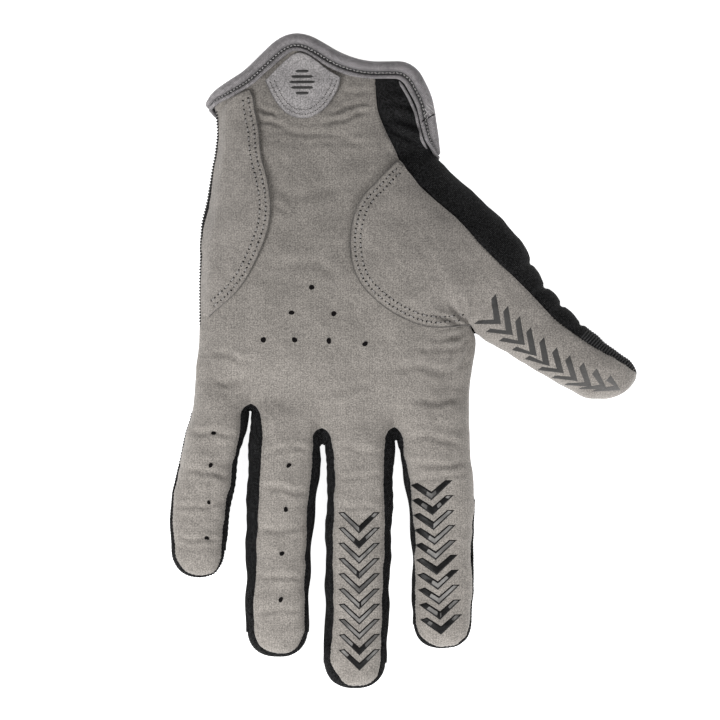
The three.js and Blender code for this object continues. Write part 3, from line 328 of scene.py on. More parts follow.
def to_thumb(c, r):
    x, y = c - THUMB_ROOT[0], r - THUMB_ROOT[1]
    return x * CT + y * ST, x * ST - y * CT


def from_thumb(s, n):
    return np.stack([THUMB_ROOT[0] + s * CT + n * ST, THUMB_ROOT[1] + s * ST - n * CT], -1)


def limb_points(c, r):
    for k in ORDER:
        yield k, limbs[k], r, c
    s, n = to_thumb(c, r)
    yield "thumb", limbs["thumb"], s, n


def crown(c, r):
    c, r = np.asarray(c, float), np.asarray(r, float)
    a, b = body_left(r), body_right(r)
    u = np.abs(c - (a + b) / 2) / ((b - a) / 2)
    fade = np.sqrt(1 - ease((r - web_row(c) + 45) / 62))
    share = np.ones_like(u)
    for m in MOUNDS:
        share = share + m[4] * np.exp(-((c - m[0]) / m[2]) ** 2 - ((r - m[1]) / m[3]) ** 2)
    total = (body_crown(r) * np.sqrt(np.maximum(0, 1 - u ** 2.6)) * fade * share) ** BLEND
    for k, limb, s, n in limb_points(c, r):
        f = limb.fill(s, n)
        grow = 1.0 if k == "thumb" else ease((s - limb.start) / 70)
        total = total + np.where((f < 1) & (s > limb.start), (limb.crown(np.minimum(s, limb.bend)) * np.sqrt(np.maximum(0, 1 - f)) * grow) ** BLEND, 0)
    return total ** (1 / BLEND)


def depth(c, r):
    c, r = np.asarray(c, float), np.asarray(r, float)
    a, b = body_left(r), body_right(r)
    u = np.abs(c - (a + b) / 2) / ((b - a) / 2)
    rnd = lambda q, flat: np.sqrt(1 - clamp((q - flat) / (1 - flat), 0, 1) ** 2)
    fade = np.sqrt(1 - ease((r - web_row(c) + 30) / 52))
    total = (rnd(u, 0.75) * fade) ** 6
    for k, limb, s, n in limb_points(c, r):
        f = limb.fill(s, n)
        grow = ease((s + 110) / 60) if k == "thumb" else ease((s - limb.start) / 50)
        total = total + np.where((f < 1) & (s > limb.start), (rnd(np.maximum(f, 0) ** (1 / CROSS_POWER), limb.flat) * grow) ** 6, 0)
    lip = np.maximum(0, 1 - (r - lip_row(c)) / 42) ** 1.6
    return SEAM_Z * np.minimum(1, total ** (1 / 6)) * (1 - LIP_RISE * lip)


def top(c, r):
    return SEAM_Z + crown(c, r)


def under(c, r):
    return SEAM_Z - depth(c, r)


def place(c, r, z):
    c, r, z = np.broadcast_arrays(c, r, z)
    return np.stack([(c - PLAN_X0) * SQUARE, (PLAN_Y0 - r) * SQUARE, z], -1)


def unit(v):
    return v / np.maximum(1e-9, np.linalg.norm(v, axis=-1, keepdims=True))


def slope_normal(height, c, r, sign, e=0.4):
    gx = (height(c + e, r) - height(c - e, r)) / (2 * e * SQUARE)
    gy = -(height(c, r + e) - height(c, r - e)) / (2 * e * SQUARE)
    return unit(np.stack([-gx * sign, -gy * sign, np.full_like(gx, sign)], -1))


def keep_inside(c, r, free, most=0.982):
    """Draws the free points that lie on or past a limb's outline back inside it."""
    c, r = c.copy(), r.copy()
    a, b = body_left(r), body_right(r)
    u = np.abs(c - (a + b) / 2) / ((b - a) / 2)
    off_body = (u >= 1) | (r > web_row(c) + 16)
    best, which = np.full(c.shape, 9.0), np.full(c.shape, -1)
    items = []
    for i, (k, limb, s, n) in enumerate(limb_points(c, r)):
        f = np.where(s > (limb.start if k != "thumb" else 20), limb.fill(s, n), 9.0)
        which = np.where(f < best, i, which)
        best = np.minimum(f, best)
        items.append((k, limb, s, n))
    for i, (k, limb, s, n) in enumerate(items):
        bad = free & off_body & (which == i) & (best > most) & (best < 2.2)
        if not bad.any():
            continue
        S, Nn = s[bad], n[bad]
        sc = np.minimum(S, limb.bend)
        mc = (limb.left(sc) + limb.right(sc)) / 2
        lo, hi = np.zeros(S.shape), np.ones(S.shape)
        for _ in range(14):
            k_ = (lo + hi) / 2
            ok = limb.fill(sc + (S - sc) * k_, mc + (Nn - mc) * k_) < most
            lo, hi = np.where(ok, k_, lo), np.where(ok, hi, k_)
        S2, N2 = sc + (S - sc) * lo, mc + (Nn - mc) * lo
        if k == "thumb":
            q = from_thumb(S2, N2)
            c[bad], r[bad] = q[:, 0], q[:, 1]
        else:
            c[bad], r[bad] = N2, S2
    return c, r


# ------------------------------------------------------------------ sheets
class Sheet:
    """Collects plan grids, welds them, gives a closed wall with a soft relief and rolled edges."""

    def __init__(self):
        self.c, self.r, self.kind, self.extra, self.edge, self.quads, self.count = [], [], [], [], [], [], 0

    def grid(self, plan, kind, extra=None, edge=None):
        """plan (v, u, 2); kind (v, u) 0 top, 1 under, 2 outline seam, 3 rim of the upper, 4 rim of the lower; extra: lift in mm; edge: rolls down by this many mm."""
        nv, nu = plan.shape[:2]
        i = np.arange(nv * nu).reshape(nv, nu) + self.count
        self.c.append(plan[..., 0].ravel()); self.r.append(plan[..., 1].ravel())
        self.kind.append(np.broadcast_to(kind, (nv, nu)).ravel())
        self.extra.append(np.zeros(nv * nu) if extra is None else np.broadcast_to(extra, (nv, nu)).ravel())
        self.edge.append(np.zeros(nv * nu) if edge is None else np.broadcast_to(edge, (nv, nu)).ravel())
        self.quads.append(np.stack([i[:-1, :-1], i[1:, :-1], i[1:, 1:], i[:-1, 1:]], -1).reshape(-1, 4))
        self.count += nv * nu

    def build(self, name, thickness, seam_gap=0.1, flipped=False, wrinkle=None, normal_add=None, guide=None):
        c, r = np.concatenate(self.c), np.concatenate(self.r)
        kind, extra, edge = np.concatenate(self.kind), np.concatenate(self.extra), np.concatenate(self.edge)
        quads = np.concatenate(self.quads)
        side = np.isin(kind, (1, 4, 6)).astype(int)
        key = np.stack([np.round(c * 50), np.round(r * 50), side], -1).astype(np.int64)
        _, first, inverse = np.unique(key, axis=0, return_index=True, return_inverse=True)
        inverse = inverse.ravel()
        c, r, kind, extra, edge, side = c[first], r[first], kind[first], extra[first], edge[first], side[first]
        quads = inverse[quads]
        c, r = keep_inside(c, r, kind < 2)
        c = np.where((kind < 2) & (r > 112) & (r < 400) & (c < 230), np.maximum(c, body_left(r) + 0.3), c)
        z = np.where(kind == 0, top(c, r), np.where(kind == 1, under(c, r), SEAM_Z))
        z = np.where(kind == 3, SEAM_Z + seam_gap, np.where(kind == 4, SEAM_Z - seam_gap, z))
        z = np.where(kind == 5, SEAM_Z - 0.9, np.where(kind == 6, SEAM_Z - 1.1, z))
        P = place(c, r, z)
        up = kind == 0
        N0 = slope_normal(top, c, r, 1)
        if extra.any():
            P = P + np.where(up | (kind == 3), extra, 0)[:, None] * np.where((kind == 3)[:, None], unit(N0 * [1, 1, 0.05]), N0)
        if flipped:
            quads = quads[:, ::-1]
        NU = slope_normal(under, c, r, -1)

        def steady(N):
            ref = np.where((kind == 0)[:, None], N0, np.where((kind == 1)[:, None], NU, N))
            if guide is not None:
                out, on = guide(c, r)
                ref = np.where(((kind >= 2) & on)[:, None], out, ref)
            bad = (N * ref).sum(-1) < 0.25
            N[bad] = ref[bad]
            return N
        N = vertex_normals(P, quads)
        flat = kind >= 2
        N[flat, 2] = 0
        N = steady(unit(N))
        move = np.zeros(len(c))
        if wrinkle is not None:
            move = wrinkle(c, r, kind)
        move = move - edge
        P = P + N * (move - np.where(kind == 6, 0.5, 0))[:, None]
        if normal_add is not None:
            P = normal_add(P, N, c, r, kind)
        N = vertex_normals(P, quads)
        N[flat, 2] *= 0.2
        N = steady(unit(N))
        Q = P - N * (thickness(c, r)[:, None] if callable(thickness) else thickness)
        return make_wall(name, P, Q, quads), (P, quads)


def vertex_normals(P, quads):
    a, b, c, d = (P[quads[:, i]] for i in range(4))
    n = np.cross(c - a, d - b)
    N = np.zeros_like(P)
    for i in range(4):
        np.add.at(N, quads[:, i], n)
    return unit(N)


def make_wall(name, P, Q, quads):
    n = len(P)
    e = np.concatenate([quads[:, [0, 1]], quads[:, [1, 2]], quads[:, [2, 3]], quads[:, [3, 0]]])
    e = e[e[:, 0] != e[:, 1]]
    code, back = e[:, 0].astype(np.int64) * n + e[:, 1], e[:, 1].astype(np.int64) * n + e[:, 0]
    rim = e[~np.isin(code, back)]
    faces = [quads, quads[:, ::-1] + n, np.stack([rim[:, 1], rim[:, 0], rim[:, 0] + n, rim[:, 1] + n], -1)]
    return make_object(name, np.concatenate([P, Q]), np.concatenate(faces))


def make_object(name, verts_mm, faces, smooth=True):
    faces = [list(dict.fromkeys(int(i) for i in f)) for f in np.asarray(faces).tolist()] if not isinstance(faces, list) else faces
    faces = [f for f in faces if len(f) > 2]
    me = bpy.data.meshes.new(name)
    me.from_pydata((np.asarray(verts_mm) * MM).tolist(), [], faces)
    me.update()
    if smooth:
        me.polygons.foreach_set("use_smooth", [True] * len(me.polygons))
    ob = bpy.data.objects.new(name, me)
    bpy.context.scene.collection.objects.link(ob)
    return ob


# ------------------------------------------------------------------ outlines of the fingers in plan
TIP_CORNER = 52


def tip_point(limb, angle):
    a = np.radians(np.asarray(angle, float))
    s, o = np.sin(a), np.cos(a)
    t, w = np.abs(o) ** (2 / limb.power), np.abs(s) ** (2 / CROSS_POWER) * np.sign(s)
    l, r = limb.left(limb.bend), limb.right(limb.bend)
    return np.stack([(l + r) / 2 + w * (r - l) / 2, limb.bend + t * limb.reach], -1)


TIP_INSET = {  # degrees round the tip from its middle, inset in squares: how far the back's black fabric comes round
    "pinky": [[-90, 3.0], [-52, 3.0], [-20, 2.0], [10, 1.2], [35, 0.5], [60, 1.0], [90, 2.0]],
    "ring": [[-90, 5.8], [-60, 5.4], [-30, 3.4], [0, 2.6], [30, 2.6], [60, 2.8], [90, 3.2]],
    "middle": [[-90, 6.6], [-60, 8.2], [-42, 8.2], [-25, 5.2], [0, 2.4], [30, 2.4], [60, 2.8], [90, 3]],
    "index": [[-90, 1.8], [-62, 2.6], [-42, 3.8], [-20, 2.6], [0, 0.8], [20, 0.8], [45, 2.6], [65, 1.9], [90, 0.3]],
}
SIDE_INSET = {
    "pinkyLeft": [[404, 0], [462, 0], [486, 1.3], [505, 2.4], [545, 3.0]],
    "indexRight": [[410, 0], [500, 0], [512, 1.1], [546, 1.4], [556, 0.2], [566, 1.3], [583, 1.4], [592, 0.2], [620, 0.3]],
}


def tip_inward(limb, angle):
    a = np.asarray(angle, float)
    d = unit(tip_point(limb, a + 0.6) - tip_point(limb, a - 0.6))
    return np.stack([d[..., 1], -d[..., 0]], -1)


def tip_in(key, angle):
    a = np.asarray(angle, float)
    return tip_point(limbs[key], a) + tip_inward(limbs[key], a) * track(TIP_INSET[key])(a)[..., None]


class Domain:
    def __init__(self, key, cl, cr, inl, inr, tips=False):
        limb = self.limb = limbs[key]
        self.key = key

        def side(sign, start, inset):
            pts = [start]
            for f in ((0.007, 0.02, 0.04, 0.075, 0.13, 0.2, 0.3, 0.42, 0.54, 0.66, 0.78, 0.9, 1) if tips else (0.08, 0.2, 0.36, 0.52, 0.68, 0.84, 1)):
                r = mix(start[1], limb.bend, f)
                pts.append([float(limb.left(r) if sign < 0 else limb.right(r)) - sign * float(inset(r)), r])
            if tips:
                for a in (82, 70, 61):
                    pts.append(tip_in(key, sign * a).tolist())
                pts.append(tip_in(key, sign * TIP_CORNER).tolist())
            else:
                if float(inset(limb.bend)) < 0.5:
                    for a in (84, 73, 62):
                        pts.append(tip_point(limb, sign * a).tolist())
                pts.append(tip_point(limb, sign * TIP_CORNER).tolist())
            return Line(pts)
        self.left, self.right = side(-1, cl, inl), side(1, cr, inr)
        self.top = Line([cl, [(cl[0] + cr[0]) / 2, (cl[1] + cr[1]) / 2], cr])
        self.tip = (lambda t: tip_in(key, mix(-TIP_CORNER, TIP_CORNER, np.asarray(t, float)))) if tips else (lambda t: tip_point(limb, mix(-TIP_CORNER, TIP_CORNER, np.asarray(t, float))))


CROTCH = [[193, 404], [251, 404], [322, 428], [394.3, 427], [469.5, 410]]
none = lambda r: 0.0


def back_inset(crotch, bend):
    return lambda r: BACK_INSET * ease((r - crotch) / 26) * (1 - 0.3 * ease((r - bend + 40) / 40))


front = [Domain("pinky", CROTCH[0], CROTCH[1], track(SIDE_INSET["pinkyLeft"]), track(FRONT_INSET["pinkyRight"]), True),
         Domain("ring", CROTCH[1], CROTCH[2], track(FRONT_INSET["ringLeft"]), track(FRONT_INSET["ringRight"]), True),
         Domain("middle", CROTCH[2], CROTCH[3], track(FRONT_INSET["middleLeft"]), track(FRONT_INSET["middleRight"]), True),
         Domain("index", CROTCH[3], CROTCH[4], track(FRONT_INSET["indexLeft"]), track(SIDE_INSET["indexRight"]), True)]
back = [Domain(k, CROTCH[i], CROTCH[i + 1], none if i == 0 else back_inset(CROTCH[i][1], limbs[k].bend),
               none if i == 3 else back_inset(CROTCH[i + 1][1], limbs[k].bend)) for i, k in enumerate(ORDER)]


def roll(distance_mm, along_mm, depth_mm=0.5, reach=0.9, pucker=0.22, pitch=1.35):
    """Edge of a turned seam: rolls in, with a pucker at each stitch."""
    q = distance_mm / reach
    return np.exp(-q * q) * depth_mm * (1 + pucker * np.cos(2 * np.pi * along_mm / pitch)) + 0.12 * pucker * np.exp(-(distance_mm / (2.4 * reach)) ** 2) * np.cos(2 * np.pi * along_mm / pitch)


def edge_fall(plan, left=True, right=True, tip=False, **kw):
    """Rolled-edge depth over a grid, measured in plan from its side lines."""
    out = np.zeros(plan.shape[:2])
    along = np.concatenate([[0], np.cumsum(np.hypot(*(np.diff(plan[:, 0], axis=0)).T))]) * SQUARE
    if left:
        d = np.hypot(*(plan - plan[:, :1]).transpose(2, 0, 1)) * SQUARE
        out = np.maximum(out, roll(d, along[:, None], **kw))
    if right:
        d = np.hypot(*(plan - plan[:, -1:]).transpose(2, 0, 1)) * SQUARE
        out = np.maximum(out, roll(d, along[:, None], **kw))
    if tip:
        alongt = np.concatenate([[0], np.cumsum(np.hypot(*(np.diff(plan[-1], axis=0)).T))]) * SQUARE
        d = np.hypot(*(plan - plan[-1:]).transpose(2, 0, 1)) * SQUARE
        out = np.maximum(out, roll(d, alongt[None, :], **kw))
    return out


def hand_sheet(kind, mouth, left, right, domains, cols, rows_hand, rows_finger, rim_from, edges=True):
    sheet, rim = Sheet(), (3 if kind == 0 else 4)
    us = crowd_both(cols, 0.5)

    def web(u):
        u = np.atleast_1d(np.asarray(u, float))
        k = np.minimum(3, np.floor(u * 4 + 1e-9).astype(int))
        return np.array([domains[kk].top(uu * 4 - kk) for kk, uu in zip(k, u)])
    whole = crowd_both(cols * 4, 0.55)
    webus = np.concatenate([(k + us[(1 if k else 0):]) / 4 for k in range(4)])
    vs = even(rows_hand)
    plan = np.stack([patch(mouth, lambda u: web(u) if np.ndim(u) else web(u)[0], left, right, mix(whole, webus, ease(v)), [v])[0] for v in vs])
    plan[-1] = web(webus)
    K = np.full(plan.shape[:2], kind)
    K[:, 0] = rim
    K[:, -1] = np.where(plan[:, -1, 1] >= rim_from, 5 if kind == 0 else 6, kind)
    E = edge_fall(plan, False, True, depth_mm=0.35 if kind == 0 else 0.4, reach=0.5 if kind == 0 else 0.9) * (plan[:, -1:, 1] < rim_from) if edges else None
    sheet.grid(plan, K, edge=E)
    for k, d in enumerate(domains):
        g = patch(d.top, d.tip, d.left, d.right, us, crowd_end(rows_finger, 0.45))
        g[0] = web((k + us) / 4)
        K = np.full(g.shape[:2], kind)
        if k == 0:
            K[:, 0] = np.where((kind == 0) & (g[:, 0, 1] > 464), 0, rim)
        if k == 3:
            K[:, -1] = np.where((kind == 0) & (g[:, -1, 1] > 502), 0, 5 if kind == 0 else 6)
        if kind == 1:
            K[-1] = rim
        E = None
        if edges:
            along = np.concatenate([[0], np.cumsum(np.hypot(*(np.diff(g[:, 0], axis=0)).T))])
            fade = ease(along / 14)[:, None]
            sides = edge_fall(g, k > 0, k < 3, False, depth_mm=0.4) * fade
            if k == 0:
                sides = np.maximum(sides, edge_fall(g, True, False, False, depth_mm=0.4) * ease((g[:, :1, 1] - 470) / 20))
            if k == 3:
                sides = np.maximum(sides, edge_fall(g, False, True, False, depth_mm=0.3) * ease((g[:, -1:, 1] - 505) / 20))
            E = np.maximum(sides, edge_fall(g, False, False, True, depth_mm=0.4))
        sheet.grid(g, K, edge=E)
    return sheet


def soft_top(c, r, kind):
    keep = np.where(kind == 0, 1.0, 0.25)
    return relief(c, r) * keep


def soft_under(c, r, kind):
    x, y = (c - PLAN_X0) * SQUARE, (PLAN_Y0 - r) * SQUARE
    d = np.clip(under(c, r) / 2.5, 0, 1)
    return -(0.35 * np.abs(soft_mid(x, y)) + 0.1 * np.abs(soft_small(x, y))) * d * 0.6


palm_right = Line(BLACK_SEAM[:6] + UNDER_PATCH)
body_left_line = Line([[213, 103]] + [[float(body_left(q)), q] for q in (108, 114, 121, 130, 142, 154, 170, 200, 230, 280, 322, 354, 380, 404)])
pieces = {}
surf = {}

def left_out(c, r):
    """Level direction out of the glove along its left side."""
    return np.stack([np.full(c.shape, -1.0), np.zeros(c.shape), np.zeros(c.shape)], -1), (c < 230) & (r > 108) & (r < 400)


palm_sheet = hand_sheet(0, Line(MOUTH_PALM), body_left_line, palm_right, front, 38, 170, 130, 333)
pieces["palm"], surf["palm"] = palm_sheet.build("palm", SUEDE, wrinkle=soft_top, guide=left_out)
back_sheet = hand_sheet(1, Line(MOUTH_BACK), body_left_line, Line(BACK_SEAM), back, 26, 80, 80, 333)
pieces["back"], surf["back"] = back_sheet.build("back", STRETCH, flipped=True, wrinkle=soft_under)

# ------------------------------------------------------------------ thumb
seam_line = Line(BLACK_SEAM[:-1] + [[628, 364.4], [636.2, 369.6]])
patch_from = seam_line.at(7)
beyond_palm = track([[p[1], p[0]] for p in UNDER_PATCH[:9]])


def patch_lift(c, r):
    return PATCH_RISE * (1 - ease((c - beyond_palm(r) - 7) / 26))


def thumb_tip(angle):
    limb = limbs["thumb"]
    a = np.radians(np.asarray(angle, float))
    s, o = np.sin(a), np.cos(a)
    t, w = np.abs(o) ** (2 / limb.power), np.abs(s) ** (2 / CROSS_POWER) * np.sign(s)
    lo, hi = limb.left(limb.bend), limb.right(limb.bend)
    return from_thumb(limb.bend + t * limb.reach, (lo + hi) / 2 + limb.skew * t * t + w * (hi - lo) / 2)


LOW_CORNER, HIGH_CORNER = -50, 29
low_line = [from_thumb(np.float64(s), limbs["thumb"].left(s)).tolist() for s in (48, 60, 80, 103, 125, 145, 160)] + [thumb_tip(-75).tolist(), thumb_tip(LOW_CORNER).tolist()]
thumb_side = Line(PATCH_SIDE + [[474.8, 330.2]] + low_line)
crotch_t = thumb_side.at(len(PATCH_SIDE))
THUMB_V, THUMB_U = 170, 84
vs, us_t = crowd_end(THUMB_V, 0.3), mix(even(THUMB_U), np.sin(np.pi * even(THUMB_U) / 2), 0.55)
seam_part = part(seam_line, patch_from, 1)
last_seam, arc_start = seam_part(1.0), thumb_tip(HIGH_CORNER)


def tip_line(t):
    t = np.asarray(t, float)
    return thumb_tip(mix(HIGH_CORNER, LOW_CORNER, t)) + (last_seam - arc_start) * ((1 - t) ** 9)[..., None]


g = patch(Line(PATCH_TOP), tip_line, seam_part, thumb_side, us_t, vs)
K = np.zeros(g.shape[:2], int)
K[vs > crotch_t, -1] = 5
K[-1, 3:] = 5
low_fall = np.zeros(g.shape[:2])
seam_fall = edge_fall(g, True, False, False, depth_mm=0.5) * ease(even(THUMB_V) / 0.04)[:, None]
thumb_sheet = Sheet()
thumb_sheet.grid(g[:, ::-1], K[:, ::-1], extra=patch_lift(g[..., 0], g[..., 1])[:, ::-1], edge=np.maximum(low_fall, seam_fall)[:, ::-1])
pieces["thumb_front"], surf["thumb_front"] = thumb_sheet.build("thumb_front", PATCH, wrinkle=soft_top)

def tip_out(c, r):
    """Level direction out of the thumb's end, and where it holds."""
    s_, n_ = to_thumb(c, r)
    t = np.maximum(0, s_ - 160) / limbs["thumb"].reach
    ds, dn = s_ - np.minimum(s_, 172), n_ - (-13.05 + limbs["thumb"].skew * t * t)
    return unit(np.stack([ds * CT + dn * ST, -(ds * ST - dn * CT), np.zeros_like(ds)], -1)), s_ > 150


def thin_tip(c, r):
    return mix(STRETCH, 0.35, ease((to_thumb(c, r)[0] - 160) / 18))


# black side and back of the thumb
def accordion(c, r, kind):
    """Folds and ribs of the stretch fabric beside the thumb, in mm along the normal."""
    s, n = to_thumb(c, r)
    x, y = (c - PLAN_X0) * SQUARE, (PLAN_Y0 - r) * SQUARE
    out = 0.16 * soft_mid(x, y) + 0.06 * soft_small(x, y)
    edge_n = limbs["thumb"].right(np.minimum(s, 160))
    level = ease((n - edge_n + 17) / 15)
    for s0, w, d in ((46, 3.0, 1.0), (75, 2.8, 1.15), (101, 2.8, 1.15), (129.5, 2.2, 0.9)):
        q = (s - s0 - 0.35 * (n - 25)) / w
        out = out - d * np.exp(-q * q) * level
    for s0, w, d in ((60, 9, 0.75), (88, 9, 0.75), (115, 9, 0.7), (24, 16, 0.4)):
        q = (s - s0 - 0.35 * (n - 25)) / w
        out = out + d * np.exp(-q * q) * level
    rib = ease((s - 131) / 4)
    out = out + (0.24 * np.cos(2 * np.pi * (s - 0.12 * n) / 2.9) - 0.05) * rib * ease((n - edge_n + 18) / 8) * (1 - 0.4 * ease((n - edge_n + 2.5) / 2.0)) * (1 - ease((s - 184) / 12))
    wrist = ease((165 - r) / 30) * ease((r - mouth_row(c)) / 22)
    out = out + wrist * (0.28 * across(x * 0.8 + y * 0.5, y) + 1.6 * crease(c, r, (390, 112), (430, 138), 0.6, 1.5, 1.5) + 1.6 * crease(c, r, (386, 126), (426, 150), 0.5, 1.3, 1.2)
                         + 1.4 * crease(c, r, (384, 100), (420, 112), 0.4, 1.2, 1.0))
    return np.where(kind == 0, out, out * np.where(kind == 2, 1.0, 0.45))


SLOT = -0.7
side = shifted(seam_line, lambda t: -SLOT - 0.6 * ease((t - 0.93) / 0.07))
outline = Line(OUTLINE_BLACK[:15] + [from_thumb(np.float64(q), limbs["thumb"].right(q)).tolist() for q in (112, 124, 136, 148, 160)]
               + [thumb_tip(q).tolist() for q in (80, 66, 52, 38, HIGH_CORNER)])
turn_at = seam_line.at(6) + 0.008
mouth_t = Line(MOUTH_THUMB)
corner_t = mouth_t.at(2)
across_line = Line([side(turn_at).tolist(), outline(0.0).tolist()])
SU, UU = 36, 40
strip_u = mix(even(SU), np.sin(np.pi * even(SU) / 2), 0.6)
start_pt = np.array([side(0.0)[0], 67.2])


def pinned(f, a=None, b=None):
    def g(t):
        t = np.asarray(t, float)
        out = f(t)
        if a is not None:
            out = out + (np.asarray(a) - f(0.0)) * (1 - clamp(t / 0.15, 0, 1))[..., None]
        if b is not None:
            out = out + (np.asarray(b) - f(1.0)) * (1 - clamp((1 - t) / 0.15, 0, 1))[..., None]
        return out
    return g


cuff = patch(pinned(part(mouth_t, 0, corner_t), a=start_pt), across_line, pinned(part(side, 0, turn_at), a=start_pt), part(mouth_t, corner_t, 1), strip_u, even(44))
low = [[400.9, 154.8]] + [[p[0] + 0.7, p[1]] for p in BACK_SEAM[1:6]] + [[476.4, 333.2]] + low_line
far = Line(low)
vb = np.concatenate([np.linspace(0, 0.58, 130), np.linspace(0.58, 1, 240)[1:]])
strip = patch(across_line, Line([side(1.0).tolist(), outline(1.0).tolist()]), part(side, turn_at, 1), outline, strip_u, vb)


def tip_arc(t):
    t = np.asarray(t, float)
    return thumb_tip(mix(HIGH_CORNER, LOW_CORNER, t)) + (outline(1.0) - thumb_tip(HIGH_CORNER)) * ((1 - t) ** 3)[..., None]


mbt = [list(p) for p in MOUTH_BACK_THUMB]
mbt[0] = [400.9, 154.8]
below = patch(flip(Line(mbt)), tip_arc, outline, far, crowd_both(UU, 0.7), vb)
far_crotch = far.at(6)
thumb_back = Sheet()
fall = edge_fall(cuff, True, False, depth_mm=0.3)
thumb_back.grid(cuff, 0, edge=fall)
K = np.zeros(strip.shape[:2], int)
K[:, -1] = 2
fall = edge_fall(strip, True, False, depth_mm=0.45)
thumb_back.grid(strip, K, edge=fall)
K = np.ones(below.shape[:2], int)
K[:, 0] = 2
K[vb >= far_crotch - 1e-6, -1] = 6
K[-1, 1:] = 6
thumb_back.grid(below, K)


pieces["thumb_back"], surf["thumb_back"] = thumb_back.build("thumb_back", thin_tip, wrinkle=accordion, guide=tip_out)


def paint_rib_highlight(ob):
    """Painted highlight: marks the lit backs of the thumb's ribs, for the stretch material to paint them lighter."""
    me = ob.data
    co = np.empty(len(me.vertices) * 3)
    me.vertices.foreach_get("co", co)
    co = co.reshape(-1, 3) / MM
    c, r = co[:, 0] / SQUARE + PLAN_X0, PLAN_Y0 - co[:, 1] / SQUARE
    s, n = to_thumb(c, r)
    e = limbs["thumb"].right(np.minimum(s, 160))
    # painted highlight: how much painted light each rib crest gets
    lit = (0.5 + 0.5 * np.cos(2 * np.pi * (s - 0.12 * n) / 2.9)) ** 1.6
    tone = lit * ease((s - 131) / 4) * (1 - ease((s - 196) / 5)) * ease((n - e + 20) / 6) * (co[:, 2] > SEAM_Z - 0.5)
    at = me.attributes.new("tone", "FLOAT", "POINT")
    at.data.foreach_set("value", tone.astype(np.float32))


paint_rib_highlight(pieces["thumb_back"])

# ------------------------------------------------------------------ patches on the palm
def overlay(t, b, l, rr, nu, nv, name, rise):
    s = Sheet()
    plan = patch(t, b, l, rr, crowd_start(nu, 0.65), even(nv))
    s.grid(plan, 0, extra=rise(plan) if callable(rise) else rise)
    ob, sf = s.build(name, PATCH, wrinkle=soft_top)
    return ob, sf, plan


heel_left = Line([[222, 112.5]] + [[float(body_left(q)) + 3.0, q] for q in (124, 140, 154, 170, 200, 230, 255, 280, 300, 315)])
pieces["heel"], surf["heel"], _ = overlay(Line([[222, 112.5], [228, 105], [238, 97.5], [250.5, 91]]), Line([heel_left(1.0).tolist(), HEEL_SEAM[-1]]), heel_left, Line(HEEL_SEAM), 60, 150, "heel",
                                          lambda q: mix(0.3, PATCH_RISE, ease(np.hypot(*(q - q[:, :1]).transpose(2, 0, 1)) * SQUARE / 4.5)))
pieces["tab"], surf["tab"], _ = overlay(Line(TAB_TOP), Line(TAB_FOOT), Line(TAB_LEFT), Line(TAB_RIGHT), 60, 50, "tab", PATCH_RISE)

# ------------------------------------------------------------------ strips between the fingers
WEBS = [("web_pinky_ring", 0, 1, (250, 411), 2.6), ("web_ring_middle", 1, 2, (321.7, 445), 3.6), ("web_middle_index", 2, 3, (394, 440), 3.6)]


